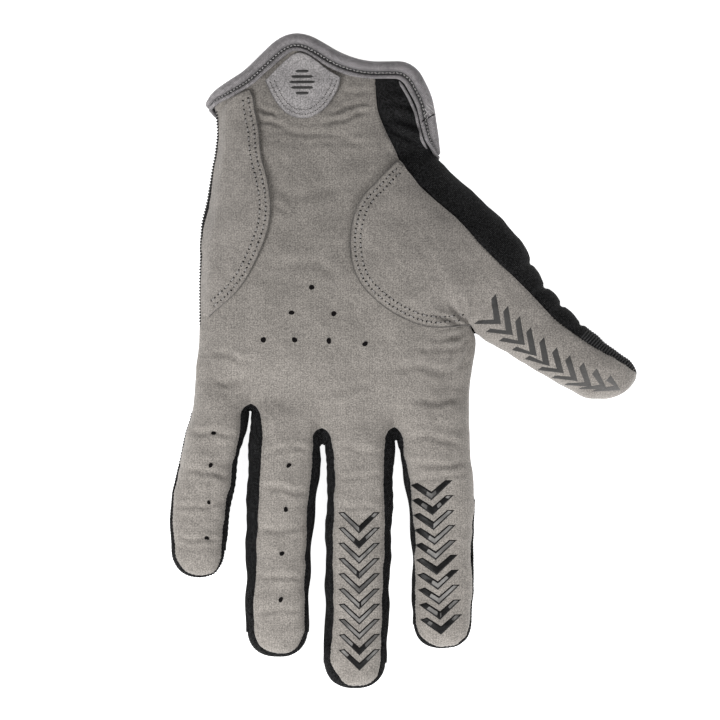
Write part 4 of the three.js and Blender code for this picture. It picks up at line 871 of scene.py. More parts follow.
def web_strip(name, ia, ib, turn, spread):
    A, B, crotch, lap = ORDER[ia], ORDER[ib], CROTCH[ib], 1.5
    rows = []

    def run(key, sign, n=70):
        limb = limbs[key]
        ft = track(FRONT_INSET[f"{key}{'Right' if sign > 0 else 'Left'}"])
        fb = back_inset(crotch[1], limb.bend)
        out = []
        for i in range(1, n + 1):
            f = i / n
            r = mix(turn[1] + 3, limb.bend + limb.reach * 0.18, f ** 0.9)
            q = min(r, limb.bend)
            t = max(0, (r - limb.bend) / limb.reach)
            shrink = (1 - t ** limb.power) ** (1 / CROSS_POWER)
            l, rr = float(limb.left(q)), float(limb.right(q))
            centre = (l + rr) / 2
            o = centre + ((rr if sign > 0 else l) - centre) * shrink
            e = float(ease((f - 0.8) / 0.2))
            out.append(((o - sign * float(ft(q)) * (1 - 0.35 * e), r), (-sign, 0), (o - sign * float(fb(q)) * (1 - 0.35 * e), r), (-sign, 0), (o, r), -0.15 - 0.25 * e))
        return out
    rows += run(A, 1)[::-1]
    oa, ob = float(limbs[A].right(turn[1] + 3)), float(limbs[B].left(turn[1] + 3))
    cx, half = (oa + ob) / 2, max(0.8, (ob - oa) / 2)
    for ang in (-70, -50, -25, 0, 25, 50, 70):
        a = math.radians(ang)
        mid = (cx + math.sin(a) * half, turn[1] + 3 - math.cos(a) * 3)
        d = (math.sin(a) * 0.9, -math.cos(a))
        l = math.hypot(*d)
        inn = (d[0] / l, d[1] / l)
        s = math.sin(a)
        et = (crotch[0] + s * spread * 1.9, crotch[1] + (1 - math.cos(a)) * 7.5)
        rows.append((et, inn, et, inn, mid, 0))
    rows += run(B, -1)
    arr = lambda i: np.array([x[i] for x in rows], float)
    eT, iT, eU, iU, M2, tuck = arr(0), arr(1), arr(2), arr(3), arr(4), arr(5)
    nt = slope_normal(top, eT[:, 0] + iT[:, 0] * 0.6, eT[:, 1] + iT[:, 1] * 0.6, 1)
    nu = slope_normal(under, eU[:, 0] + iU[:, 0] * 0.6, eU[:, 1] + iU[:, 1] * 0.6, -1)
    pt, pu = eT + iT * lap, eU + iU * lap
    T = place(pt[:, 0], pt[:, 1], top(pt[:, 0], pt[:, 1])) - nt * (SUEDE + 0.35)
    U = place(pu[:, 0], pu[:, 1], under(pu[:, 0], pu[:, 1])) - nu * (STRETCH + 0.45)
    M = place(M2[:, 0], M2[:, 1], SEAM_Z)
    inward = (T + U) / 2 - M
    inward[:, 2] = 0
    M = M + unit(inward) * tuck[:, None]

    def tangent(n, inn):
        d = unit(np.stack([-inn[:, 0], inn[:, 1], np.zeros(len(inn))], -1))
        return unit(d - n * (d * n).sum(-1, keepdims=True))
    tt, tu = tangent(nt, iT), tangent(nu, iU)
    lt, lu = np.linalg.norm(T - M, axis=1, keepdims=True) * 0.42, np.linalg.norm(U - M, axis=1, keepdims=True) * 0.42
    up = np.array([[0, 0, 1.0]])
    c1, c2, c3, c4 = T + tt * lt, M + up * lt, M - up * lu, U + tu * lu
    bez = lambda a, b, c, d, t: a * (1 - t) ** 3 + b * 3 * t * (1 - t) ** 2 + c * 3 * t * t * (1 - t) + d * t ** 3
    J = 24
    ring = [bez(T, c1, c2, M, j / J * 2) if j <= J / 2 else bez(M, c3, c4, U, j / J * 2 - 1) for j in range(J + 1)]
    G = np.stack(ring, 1)
    # soft lengthwise folds and fine ribs
    i = np.arange(G.shape[0] * G.shape[1]).reshape(G.shape[:2])
    quads = np.stack([i[:-1, :-1], i[:-1, 1:], i[1:, 1:], i[1:, :-1]], -1).reshape(-1, 4)
    P = G.reshape(-1, 3)
    N = vertex_normals(P, quads)
    mid = np.array([G[:, J // 2, :2].mean(0)])
    inside_pt = np.array([[0, 0, 0]])
    sgn = 1.0
    # outward is away from the finger: compare with M minus (T+U)/2
    out_ref = (M - (T + U) / 2)
    Nm = N.reshape(G.shape)[:, J // 2]
    if (Nm * out_ref).sum() < 0:
        quads = quads[:, ::-1]
        N = -N
    along = np.concatenate([[0], np.cumsum(np.linalg.norm(np.diff(M, axis=0), axis=1))])
    j = np.arange(J + 1) / J
    mask = np.sin(np.pi * j)[None, :] ** 1.5
    ends = ease(np.minimum(along, along[-1] - along) / 6)[:, None]
    amp = 0.10 * np.cos(2 * np.pi * along / 0.95)[:, None] * mask
    fold = 0.26 * np.sin(along / 3.1 + ia)[:, None] * mask
    P = P + N * ((amp + fold) * ends + 0.10 * mask).reshape(-1, 1)
    N = vertex_normals(P, quads)
    return make_wall(name, P, P - N * SIDE_STRIP * 0.9, quads)


for w in WEBS:
    pieces[w[0]] = web_strip(*w)

# ------------------------------------------------------------------ the back's fabric coming round the outline
def rim_wrap(name, path, inward, inset, lower=2.4, proud=0.13, rib=0.10, pitch=1.05):
    """A strip over the outline: from the front's edge (inset, squares) round to the under side."""
    path, inward, inset = np.array(path, float), np.array(inward, float), np.array(inset, float)
    J, L = 8, 6
    rows = []
    di = np.maximum(inset - 0.25, 0.10)
    for j in range(J + 1):
        rows.append((di * (1 - j / J) ** 2, 0))
    for j in range(1, L + 1):
        rows.append((np.full(len(path), lower * (j / L) ** 2), 1))
    P, K = [], []
    for d, k in rows:
        q = path + inward * d[:, None]
        z = top(q[:, 0], q[:, 1]) if k == 0 else under(q[:, 0], q[:, 1])
        if k == 0 and (d < 1e-9).all():
            z = np.full(len(path), SEAM_Z)
        P.append(place(q[:, 0], q[:, 1], z)); K.append(q)
    G, Q = np.stack(P, 1), np.stack(K, 1)
    n, m = G.shape[:2]
    i = np.arange(n * m).reshape(n, m)
    quads = np.stack([i[:-1, :-1], i[:-1, 1:], i[1:, 1:], i[1:, :-1]], -1).reshape(-1, 4)
    N = vertex_normals(G.reshape(-1, 3), quads)
    ref = np.repeat(np.stack([-inward[:, 0], inward[:, 1], np.zeros(n)], -1)[:, None], m, 1).reshape(-1, 3)
    if (N * ref).sum() < 0:
        quads, N = quads[:, ::-1], -N
    s = np.concatenate([[0], np.cumsum(np.linalg.norm(np.diff(G[:, J], axis=0), axis=1))])[:, None]
    keep = np.array([1.0 - 0.75 * min(1, j / J) if j <= J else 0.0 for j in range(m)])[None, :]
    fall = np.array([0.34, 0.2, 0.08] + [0.0] * (m - 3))[None, :] * clamp(inset / 1.5, 0, 1)[:, None]
    wide = clamp(inset / 2, 0, 1)[:, None]
    ends = ease(np.minimum(s, s[-1] - s) / 2.5)
    lift = proud * (1 - 0.5 * wide) * np.ones((1, m)) + rib * np.cos(2 * np.pi * s / pitch) * ends * (0.35 + 0.65 * (1 - wide))
    if name == "rim_side":
        fall, lift = fall * 0, lift * 0 + proud + rib * np.cos(2 * np.pi * s / pitch)
    move = relief(Q[..., 0], Q[..., 1]) * keep - fall + lift - (1 - ends) * 0.3
    V = G.reshape(-1, 3) + N * move.reshape(-1, 1)
    N = vertex_normals(V, quads)
    thick = np.array([0.9 if j < J - 1 else (0.5 if j <= J else 0.2) for j in range(m)])[None, :].repeat(n, 0).reshape(-1, 1)
    return make_wall(name, V, V - N * thick, quads)


def side_rows(limb, sign, rows, inset):
    rows = np.array(rows, float)
    edge = limb.left(rows) if sign < 0 else limb.right(rows)
    return np.stack([edge, rows], -1), np.stack([np.full(len(rows), -float(sign)), np.zeros(len(rows))], -1), inset(rows)


for key in ORDER:
    limb = limbs[key]
    ang = np.linspace(-87, 87, 150)
    parts = [(tip_point(limb, ang), tip_inward(limb, ang), track(TIP_INSET[key])(ang))]
    b = limb.bend
    if key == "pinky":
        first = side_rows(limb, -1, np.linspace(408, b - 0.5, 260), track(SIDE_INSET["pinkyLeft"]))
    else:
        first = side_rows(limb, -1, np.linspace(b - 12, b - 0.5, 14), lambda r: track(FRONT_INSET[key + "Left"])(r))
    if key == "index":
        last = side_rows(limb, 1, np.linspace(b - 0.5, 496, 110), track(SIDE_INSET["indexRight"]))
    else:
        last = side_rows(limb, 1, np.linspace(b - 0.5, b - 12, 14), lambda r: track(FRONT_INSET[key + "Right"])(r))
    seq = [first, parts[0], last]
    pieces["rim_" + key] = rim_wrap("rim_" + key, np.concatenate([q[0] for q in seq]), np.concatenate([q[1] for q in seq]), np.concatenate([q[2] for q in seq]), rib=0.17 if key == "pinky" else 0.08)

rows = np.linspace(112, 327, 420)
edge = body_left(rows)
slope = np.gradient(edge, rows)
inn = unit(np.stack([np.ones_like(slope), -slope], -1))
pieces["rim_side"] = rim_wrap("rim_side", np.stack([edge, rows], -1), inn, np.full(len(rows), 1.7), proud=0.2, rib=0.3, pitch=1.1)

# ------------------------------------------------------------------ cuff tape
TAPE_SECTION = [  # into, out (mm)
    [4.85, 0.80], [4.92, 1.25], [4.78, 1.62], [4.4, 1.80], [4.0, 1.80], [3.68, 1.70], [3.48, 1.45], [3.36, 1.22], [3.1, 1.12], [2.8, 1.1], [2.5, 1.14], [2.32, 1.3], [2.2, 1.6], [2.02, 1.95],
    [1.6, 2.35], [1.0, 2.62], [0.3, 2.62], [-0.4, 2.32], [-1.0, 1.8], [-1.45, 1.15], [-1.68, 0.45], [-1.7, -0.3], [-1.45, -0.95], [-0.9, -1.5], [0.1, -1.8], [1.4, -1.85], [2.6, -1.75],
    [3.6, -1.65], [4.0, -1.4], [4.0, -0.9], [2.5, -0.85], [0.8, -0.85], [-0.6, -0.8], [-0.75, 0.0], [-0.6, 0.8], [1.0, 0.7], [3.0, 0.62]]
FOLD_REACH, FOLD_SHORT = 8.0, 0.55


def tape():
    runs = [(Line(MOUTH_PALM), top, 1, crowd_start(170, 0.4), body_left_line, 1), (Line(MOUTH_THUMB), top, 1, crowd_end(110, 0.4), None, 0),
            (flip(Line(MOUTH_BACK_THUMB)), under, -1, crowd_start(40, 0.4), outline, -1), (flip(Line(MOUTH_BACK)), under, -1, crowd_end(120, 0.5), None, 0)]
    st = []
    for f, height, sign, steps, edge, turn in runs:
        for i, t in enumerate(steps[:-1]):
            c, r = f(t)
            is_edge = i == 0 and edge is not None
            if is_edge:
                a, b = edge(0.0), edge(0.04)
                N = unit(np.array([(b[1] - a[1]) * -turn, (b[0] - a[0]) * -turn, 0.0]))
            else:
                N = slope_normal(height, c, r, sign)
            z = SEAM_Z if is_edge else float(height(c, r))
            rel = float(relief(np.array(c), np.array(r))) * 0.6 if sign > 0 and not is_edge else 0.0
            st.append(dict(c=c, r=r, N=N, edge=edge if is_edge else None, turn=turn, h=height, s=sign, E=place(c, r, z) + N * (rel - SUEDE / 2), rel=rel))
    n = len(st)
    E = np.array([s["E"] for s in st])
    N = np.array([s["N"] for s in st])
    for _ in range(26):
        N = unit(2 * N + np.roll(N, 1, 0) + np.roll(N, -1, 0))
    for _ in range(3):
        E = (2 * E + np.roll(E, 1, 0) + np.roll(E, -1, 0)) / 4
    T = unit(np.roll(E, -2, 0) - np.roll(E, 2, 0))
    N = unit(N - T * (T * N).sum(-1, keepdims=True))
    I = -unit(np.cross(N, T))
    turns = [i for i, s in enumerate(st) if s["edge"] is not None]
    sec = np.array(TAPE_SECTION)
    P = np.zeros((n, len(sec), 3))
    near = np.max([np.exp(-(np.linalg.norm(E - E[k], axis=1) / FOLD_REACH) ** 2) for k in turns], axis=0)
    left_turn = np.where(E[:, 0] < -30, 1.0, 0.15)
    for i, s in enumerate(st):
        for k, (into, out) in enumerate(sec):
            if into > 0:
                d = into * (1 - FOLD_SHORT * near[i])
                Q = E[i] + I[i] * d + N[i] * (SUEDE / 2)
                r = PLAN_Y0 - Q[1] / SQUARE
                half0, half = (body_right(s["r"]) - body_left(s["r"])) / 2, (body_right(r) - body_left(r)) / 2
                u = (s["c"] - body_left(s["r"])) / half0 - 1 + (Q[0] / SQUARE + PLAN_X0 - s["c"]) / half
                c = float(body_left(r) + half * (1 + clamp(u, -1 + 0.7 / half, 1 - 0.7 / half)))
                nn = slope_normal(s["h"], np.float64(c), np.float64(r), s["s"])
                base = place(c, r, float(s["h"](c, r))) + nn * (s["rel"] - SUEDE / 2)
                w = float(ease(near[i] * 1.6 - 0.1))
                flatb = E[i] + I[i] * d
                base = base * (1 - w) + flatb * w
                nn = unit(nn * (1 - w) + N[i] * w)
            else:
                base, nn = E[i] + I[i] * into * (1 + 0.4 * near[i]), N[i]
            P[i, k] = base + nn * out * (1 + 0.45 * near[i] * left_turn[i])
    # smooth along the run, then fine ribs across the tape
    for _ in range(6):
        P = (2 * P + np.roll(P, 1, 0) + np.roll(P, -1, 0)) / 4
    along = np.concatenate([[0], np.cumsum(np.linalg.norm(np.diff(E, axis=0), axis=1))])
    return E, N, T, I, P, along, near


tE, tN, tT, tI, tP, t_along, t_near = tape()
tn, tm = tP.shape[:2]
ii = np.arange(tn * tm).reshape(tn, tm)
tq = np.stack([ii, np.roll(ii, -1, 0), np.roll(np.roll(ii, -1, 0), -1, 1), np.roll(ii, -1, 1)], -1).reshape(-1, 4)
tv = tP.reshape(-1, 3)
tnorm = vertex_normals(tv, tq)
pucker = (0.06 * np.cos(2 * np.pi * t_along / 1.9)[:, None] * np.array([1 if 1.2 < s[0] and s[1] > 1.1 else 0.3 for s in TAPE_SECTION])[None, :])
bulge = 0.10 * np.sin(t_along / 4.3)[:, None] * np.ones((1, tm))
tv = tv + tnorm * (pucker + bulge).reshape(-1, 1)
pieces["binding"] = make_object("binding", tv, tq)
# painted shade: marks the tape's stitched groove (full) and the roll's inner wall beside it (less), for the tape
# material to darken
painted_groove_shade = np.array([1.0 if 2.2 < a < 3.5 and 0 < b < 1.5 else (0.35 if 2.0 < a < 3.8 and 1.4 < b < 2.0 else 0.0) for a, b in TAPE_SECTION])
at = pieces["binding"].data.attributes.new("tone", "FLOAT", "POINT")
at.data.foreach_set("value", np.tile(painted_groove_shade, tn).astype(np.float32))

# ------------------------------------------------------------------ what lies on the surface: found by looking straight down
def bvh_of(names, upper=True):
    V, F, off = [], [], 0
    for n in names:
        P, q = surf[n]
        V.append(P); F.append(q + off); off += len(P)
    V, F = np.concatenate(V), np.concatenate(F)
    F = [list(dict.fromkeys(f)) for f in F.tolist()]
    return BVHTree.FromPolygons(V.tolist(), [f for f in F if len(f) > 2])


tree = bvh_of(["palm", "thumb_front", "thumb_back", "heel", "tab"])


def on_surface(c, r, t=None):
    """Point (mm) and outward normal of the topmost surface at a plan place."""
    x, y = (c - PLAN_X0) * SQUARE, (PLAN_Y0 - r) * SQUARE
    hit, nor, _, _ = (t or tree).ray_cast(Vector((x, y, 60)), Vector((0, 0, -1)))
    if hit is None:
        hit, nor, _, _ = (t or tree).find_nearest(Vector((x, y, 8)))
    n = np.array(nor)
    if n[2] < 0:
        n = -n
    return np.array(hit), n


class Bits:
    """Many small shapes joined into one object."""

    def __init__(self):
        self.v, self.f, self.t, self.n = [], [], [], 0

    def add(self, v, f, tone=None):
        self.v.append(np.asarray(v)); self.f += [[i + self.n for i in q] for q in f]; self.n += len(v)
        self.t.append(np.zeros(len(v)) if tone is None else np.asarray(tone, float))

    def build(self, name):
        ob = make_object(name, np.concatenate(self.v), self.f)
        at = ob.data.attributes.new("tone", "FLOAT", "POINT")
        at.data.foreach_set("value", np.concatenate(self.t).astype(np.float32))
        return ob


def capsule(bits, a, b, n, radius, flat=0.7, seg=8, rings=6, arch=0.0):
    """A thread lying from a to b."""
    a, b, n = np.asarray(a, float), np.asarray(b, float), np.asarray(n, float)
    d = unit(b - a)
    s = unit(np.cross(d, n)); n = unit(np.cross(s, d))
    L = np.linalg.norm(b - a)
    v = []
    for i in range(rings + 1):
        t = i / rings
        w = math.sqrt(max(0.02, 1 - (2 * t - 1) ** 4))
        p = a + d * L * t + n * arch * (1 - (2 * t - 1) ** 2)
        for k in range(seg):
            q = 2 * math.pi * k / seg
            v.append(p + s * math.cos(q) * radius * w + n * math.sin(q) * radius * flat * w)
    f = [[i * seg + k, i * seg + (k + 1) % seg, (i + 1) * seg + (k + 1) % seg, (i + 1) * seg + k] for i in range(rings) for k in range(seg)]
    f.append(list(range(seg))[::-1]); f.append([rings * seg + k for k in range(seg)])
    bits.add(v, [q[::-1] for q in f])


def disc(bits, p, n, radius, seg=12, rise=0.03, wob=0.0, dish=0.0, squash=1.0, angle=0.0):
    n = unit(np.asarray(n, float))
    a = unit(np.cross(n, [0.3, 1, 0.1])); b = np.cross(n, a)
    a, b = a * math.cos(angle) + b * math.sin(angle), -a * math.sin(angle) + b * math.cos(angle)
    ph = RNG.uniform(0, 6.28, 2)
    v = [p + n * (rise - dish)]
    for k in range(seg):
        q = 2 * math.pi * k / seg
        rr = radius * (1 + wob * math.sin(2 * q + ph[0]) + 0.5 * wob * math.sin(3 * q + ph[1]))
        v.append(p + n * rise + a * rr * math.cos(q) + b * rr * squash * math.sin(q))
    bits.add(v, [[0, 1 + k, 1 + (k + 1) % seg] for k in range(seg)])


def walk(line, pitch, offset=0.0, a=0.0, b=1.0, t=None):
    """Places at equal steps (mm) along a plan line moved sideways by offset squares; gives plan points."""
    f = shifted(line, lambda q: offset)
    q = np.linspace(a, b, 700)
    p = f(q)
    s = np.concatenate([[0], np.cumsum(np.hypot(*np.diff(p, axis=0).T))]) * SQUARE
    want = np.arange(pitch * 0.5, s[-1], pitch)
    return np.stack([np.interp(want, s, p[:, 0]), np.interp(want, s, p[:, 1])], -1)


holes, thread, tape_thread = Bits(), Bits(), Bits()


def paint_seam_shade(ob, lines, reach):
    """Painted shade along a patch's turned-in edge: marks it within reach squares of its seam lines, for the suede to
    darken there.
    """
    me = ob.data
    co = np.empty(len(me.vertices) * 3)
    me.vertices.foreach_get("co", co)
    co = co.reshape(-1, 3) / MM
    q = np.stack([co[:, 0] / SQUARE + PLAN_X0, PLAN_Y0 - co[:, 1] / SQUARE], -1)
    pts = np.concatenate([f(np.linspace(0, 1, 420)) for f in lines])
    d = np.concatenate([np.sqrt(((q[i:i + 4000, None] - pts[None]) ** 2).sum(-1).min(1)) for i in range(0, len(q), 4000)])
    at = me.attributes.new("tone", "FLOAT", "POINT")
    at.data.foreach_set("value", (1 - ease(d / reach)).astype(np.float32))


def stitch_row(line, pitch, offset, a=0.0, b=1.0, radius=0.17, hole=0.26, span=0.62, bits=None, sink=0.02):
    pts = walk(line, pitch / 2, offset, a, b)
    for i in range(0, len(pts) - 1, 2):
        c0, c1 = pts[i], pts[i + 1]
        jit = RNG.normal(0, 0.12, 2)
        mid, d = (c0 + c1) / 2 + jit, (c1 - c0)
        d = d / np.linalg.norm(d)
        h = pitch / SQUARE * span / 2
        A, B = mid - d * h, mid + d * h
        pa, na = on_surface(*A); pb, nb = on_surface(*B)
        capsule(bits or thread, pa - na * sink, pb - nb * sink, na + nb, radius, arch=0.10)
        for p, n in ((pa, na), (pb, nb)):
            disc(holes, p, n, hole * RNG.uniform(0.85, 1.15), rise=0.035, wob=0.15)


heel_line, side_line, ptop_line = Line(HEEL_SEAM), Line(PATCH_SIDE), Line(PATCH_TOP)
# painted shade along the patches' seams and the tab's edges
paint_seam_shade(pieces["heel"], [heel_line], 1.9)
paint_seam_shade(pieces["thumb_front"], [side_line, ptop_line], 1.9)
paint_seam_shade(pieces["tab"], [Line(TAB_LEFT), Line(TAB_FOOT), Line(TAB_RIGHT)], 1.5)
thenar_line = Line(PATCH_TOP[1:] + PATCH_SIDE[1:])
for off in (5.0, 11.0):
    stitch_row(heel_line, 3.3, off, 0.02, 0.99, hole=0.36, radius=0.2, span=0.5)
for off in (-5.0, -10.5):
    stitch_row(thenar_line, 3.3, off, 0.015, 0.985, hole=0.36, radius=0.2, span=0.5)
tab_line = Line(TAB_LEFT + TAB_FOOT[1:] + TAB_RIGHT[::-1][1:])
for off in (-4.2, -8.4):
    stitch_row(tab_line, 1.9, off, 0.02, 0.98, radius=0.15, hole=0.2)

# cuff tape's stitches, in its groove
groove = [k for k, s in enumerate(TAPE_SECTION) if s == [2.8, 1.1]][0]
g_line = tv.reshape(tn, tm, 3)[:, groove]
g_norm = vertex_normals(tv, tq).reshape(tn, tm, 3)[:, groove]
g_s = np.concatenate([[0], np.cumsum(np.linalg.norm(np.diff(g_line, axis=0), axis=1))])
for i, s0 in enumerate(np.arange(0.6, g_s[-1] - 1.2, 1.3)):
    pa = np.array([np.interp(s0, g_s, g_line[:, k]) for k in range(3)])
    pb = np.array([np.interp(s0 + 0.95, g_s, g_line[:, k]) for k in range(3)])
    nn = unit(np.array([np.interp(s0 + 0.5, g_s, g_norm[:, k]) for k in range(3)]))
    side_v = unit(np.cross(nn, pb - pa)) * (0.24 * (-1) ** i + RNG.uniform(-0.12, 0.12))
    capsule(tape_thread, pa + nn * 0.1 - side_v, pb + nn * 0.1 + side_v, nn, 0.18, arch=0.2)
    for p in (pa - side_v, pb + side_v):
        disc(holes, p, nn, 0.27, rise=0.05, wob=0.2)

fine_holes = Bits()


def seam_dots(line, offset, a=0.0, b=1.0, pitch=1.35, radius=0.12):
    """The tight stitches of a turned seam, seen as small dark pits beside the edge: flat discs painted with the pits'
    shade.
    """
    for c, r in walk(line, pitch, offset, a, b):
        p, n = on_surface(c + RNG.normal(0, 0.08), r + RNG.normal(0, 0.1))
        disc(fine_holes, p, n, radius * RNG.uniform(0.8, 1.3), seg=8, rise=0.03, wob=0.2, squash=0.8)


for k, d in enumerate(front):
    if k > 0:
        seam_dots(d.left, -2.0, 0.06, 0.99)
    if k < 3:
        seam_dots(d.right, 2.0, 0.06, 0.99)
    seam_dots(Line(d.tip(even(24)).tolist()), -2.0)
seam_dots(part(Line(BLACK_SEAM), 0.0, 1.0), 2.2, 0.02, 0.98, pitch=1.3)

edge_in = tv.reshape(tn, tm, 3)[:, 2]
edge_px = np.stack([edge_in[:, 0] / SQUARE + PLAN_X0, PLAN_Y0 - edge_in[:, 1] / SQUARE], -1)
print("tape inner edge", [(round(float(c), 1), round(float(r), 1)) for (c, r), k in zip(edge_px, range(tn)) if 130 < k < 285 and k % 8 == 0])

# vent holes of the palm and the fingers' small holes
for c, r in ((312, 288), (292, 313), (334, 314), (264, 340), (295, 340), (329, 341), (365, 344)):
    p, n = on_surface(c, r)
    disc(holes, p, n, 1.0 * RNG.uniform(0.92, 1.08), seg=24, rise=0.1, wob=0.09, squash=RNG.uniform(0.8, 0.95), angle=RNG.uniform(0, 3))
for c, r in ((214, 433), (211, 465), (209, 502), (207, 538), (289, 465), (286, 509), (282, 553), (281, 599)):
    p, n = on_surface(c, r)
    disc(holes, p, n, 0.9 * RNG.uniform(0.9, 1.1), seg=20, rise=0.15, wob=0.12, squash=RNG.uniform(0.78, 0.95), angle=RNG.uniform(0, 3))

# the tape's inner lap beside the thumb's corner, and the cross stitches where its ends meet
tape_tree = BVHTree.FromPolygons(tv.tolist(), tq.tolist())
fold_bits = Bits()


def on_tape(c, r):
    """Topmost of the panels and the tape."""
    p, n = on_surface(c, r)
    q, m = on_surface(c, r, tape_tree)
    return (q, m) if q[2] > p[2] and abs(q[0] - (c - PLAN_X0) * SQUARE) < 0.05 else (p, n)


def ribbon(bits, points, half, rise, n_step=90):
    f = Line(points)
    t = np.linspace(0, 1, n_step)
    q = f(t)
    C, N = zip(*[on_surface(*x) for x in q])
    C, N = np.array(C), np.array(N)
    for _ in range(8):
        C[1:-1] = (2 * C[1:-1] + C[:-2] + C[2:]) / 4
        N[1:-1] = unit(2 * N[1:-1] + N[:-2] + N[2:])
    T = unit(np.gradient(C, axis=0))
    S = unit(np.cross(T, N))
    sec = [(-1.0, -0.25), (-0.86, 0.5), (-0.4, 0.95), (0.1, 1.0), (0.6, 0.8), (0.95, 0.35), (1.0, -0.25)]
    w = half * np.sqrt(np.clip(np.minimum(t, 1 - t) / 0.06, 0.03, 1))[:, None]
    V = np.stack([C + S * w * a + N * rise * b for a, b in sec], 1)
    m = len(sec)
    faces = [[i * m + k, (i + 1) * m + k, (i + 1) * m + (k + 1) % m, i * m + (k + 1) % m] for i in range(n_step - 1) for k in range(m)]
    faces += [list(range(m)), [(n_step - 1) * m + k for k in range(m)][::-1]]
    bits.add(V.reshape(-1, 3), [q[::-1] for q in faces])


ribbon(fold_bits, [(399, 83), (404, 91), (410, 102), (415, 114), (418.2, 127), (421, 139), (426, 149)], 0.55, 0.55)
for (a, b) in (((423.5, 109), (433, 119)), ((426, 106.5), (435, 115.5)), ((423.5, 117.5), (432.5, 108.5)), ((426, 120), (435.5, 111.5)), ((428.5, 105.5), (437, 112))):
    pa, na = on_tape(*a); pb, nb = on_tape(*b); pm, nm = on_tape((a[0] + b[0]) / 2, (a[1] + b[1]) / 2)
    capsule(tape_thread, pa + na * 0.1, pm + nm * 0.14, na + nm, 0.15, arch=0.05)
    capsule(tape_thread, pm + nm * 0.14, pb + nb * 0.1, nb + nm, 0.15, arch=0.05)
for t in np.linspace(0, 1, 15):
    p, n = on_tape(422 + 15 * t, 122.5 - 9 * t)
    disc(holes, p, n, 0.3, rise=0.06, wob=0.2)

# ------------------------------------------------------------------ raised grip prints
gloss, matt = Bits(), Bits()


def chevron(bits, apex_out, apex_in, left_out, left_in, right_in, right_out, height=0.2, tone=None, skirt=0.05):
    """Two arms meeting at the apex; each arm is a strip that follows the surface. tone(arm, t): 0 painted grey
    reflection to 1 the print's own black, t from the arm's end to the apex.
    """
    for arm, (a0, a1, b0, b1) in enumerate(((left_out, left_in, apex_out, apex_in), (right_out, right_in, apex_out, apex_in))):
        a0, a1, b0, b1 = (np.array(p, float) for p in (a0, a1, b0, b1))
        n = 22
        w = np.array([-skirt, 0.02, 0.10, 0.19, 0.30, 0.5, 0.70, 0.81, 0.90, 0.98, 1 + skirt])
        hh = np.array([0.0, 0.35, 0.85, 1.0, 0.92, 0.88, 0.92, 1.0, 0.85, 0.35, 0.0])
        rim = np.array([1, 1, 1, 0.55, 0, 0, 0, 0.55, 1, 1, 1.0])
        v, tt = [], []
        ts = np.concatenate([[-0.02, 0.0, 0.02, 0.045], np.linspace(0.08, 1, n - 3)])
        for i, t in enumerate(ts):
            p0, p1 = a0 + (b0 - a0) * t, a1 + (b1 - a1) * t
            rise = (0.0, 0.4, 0.9, 1.0)[i] if i < 4 else 1.0
            for ww, h, rm in zip(w, hh, rim):
                q = p0 + (p1 - p0) * ww
                P, N = on_surface(*q)
                v.append(P + N * (0.012 + height * h * rise))
                base = tone(arm, clamp(t, 0, 1)) if tone else 1.0
                tt.append(max(base, rm, 1.0 if i < 3 else 0.0))
        m = len(w)
        f = [[i * m + k, (i + 1) * m + k, (i + 1) * m + k + 1, i * m + k + 1] for i in range(n) for k in range(m - 1)]
        if arm == 1:
            f = [q[::-1] for q in f]
        bits.add(v, f, tt)


def span(a, b, soft=0.10):
    """1 between a and b along an arm."""
    return lambda t: float(ease((t - a) / soft + 0.5) * ease((b - t) / soft + 0.5))


def both(f, g):
    return lambda t: max(f(t), g(t))


OFF = lambda t: 0.0
# per chevron (left arm, right arm): where the glossy print shows its own black (1) instead of the painted grey
# reflection (0)
MIDDLE_TONE = [(OFF, span(0.25, 1.2)), (span(0.75, 1.2), span(0.62, 1.2)), (OFF, OFF), (span(0.86, 1.0), OFF), (OFF, OFF), (OFF, span(0.9, 1.2)),
               (OFF, OFF), (OFF, OFF), (span(0.62, 1.2), span(0.68, 1.2)), (span(0.36, 1.2), span(0.60, 1.2))]
INDEX_TONE = [(span(-0.2, 0.72), span(-0.2, 0.72)), (both(span(-0.2, 0.38), span(0.70, 1.3)), both(span(0.18, 0.50), span(0.72, 1.3))), (span(-0.2, 1.3), OFF), (span(-0.2, 0.66), OFF),
              (span(-0.2, 0.52), OFF), (span(-0.2, 1.3), span(-0.2, 1.3)), (span(-0.2, 0.66), span(-0.2, 0.42)), (span(-0.2, 0.50), OFF),
              (both(span(-0.2, 0.30), span(0.86, 1.3)), span(0.50, 0.92)), (both(span(-0.2, 0.26), span(0.48, 1.3)), span(0.34, 1.3))]


def finger_chevrons(first, last, half, arm, drop, tilt, tones, thick=7.3, cut=1.0):
    count = len(tones)
    for i, tn_ in enumerate(tones):
        t = i / (count - 1)
        ax, ay = mix(first[0], last[0], t), mix(first[1], last[1], t)
        k = math.tan(math.radians(tilt))
        lx, rx = ax - half, ax + half
        ly, ry = ay - drop + half * k, ay - drop - half * k
        chevron(gloss, (ax, ay), (ax, ay - thick), (lx, ly), (lx + arm - 0.5, ly - cut), (rx - arm, ry - 0.2), (rx, ry), tone=lambda arm_, q, tn_=tn_: tn_[arm_](q))


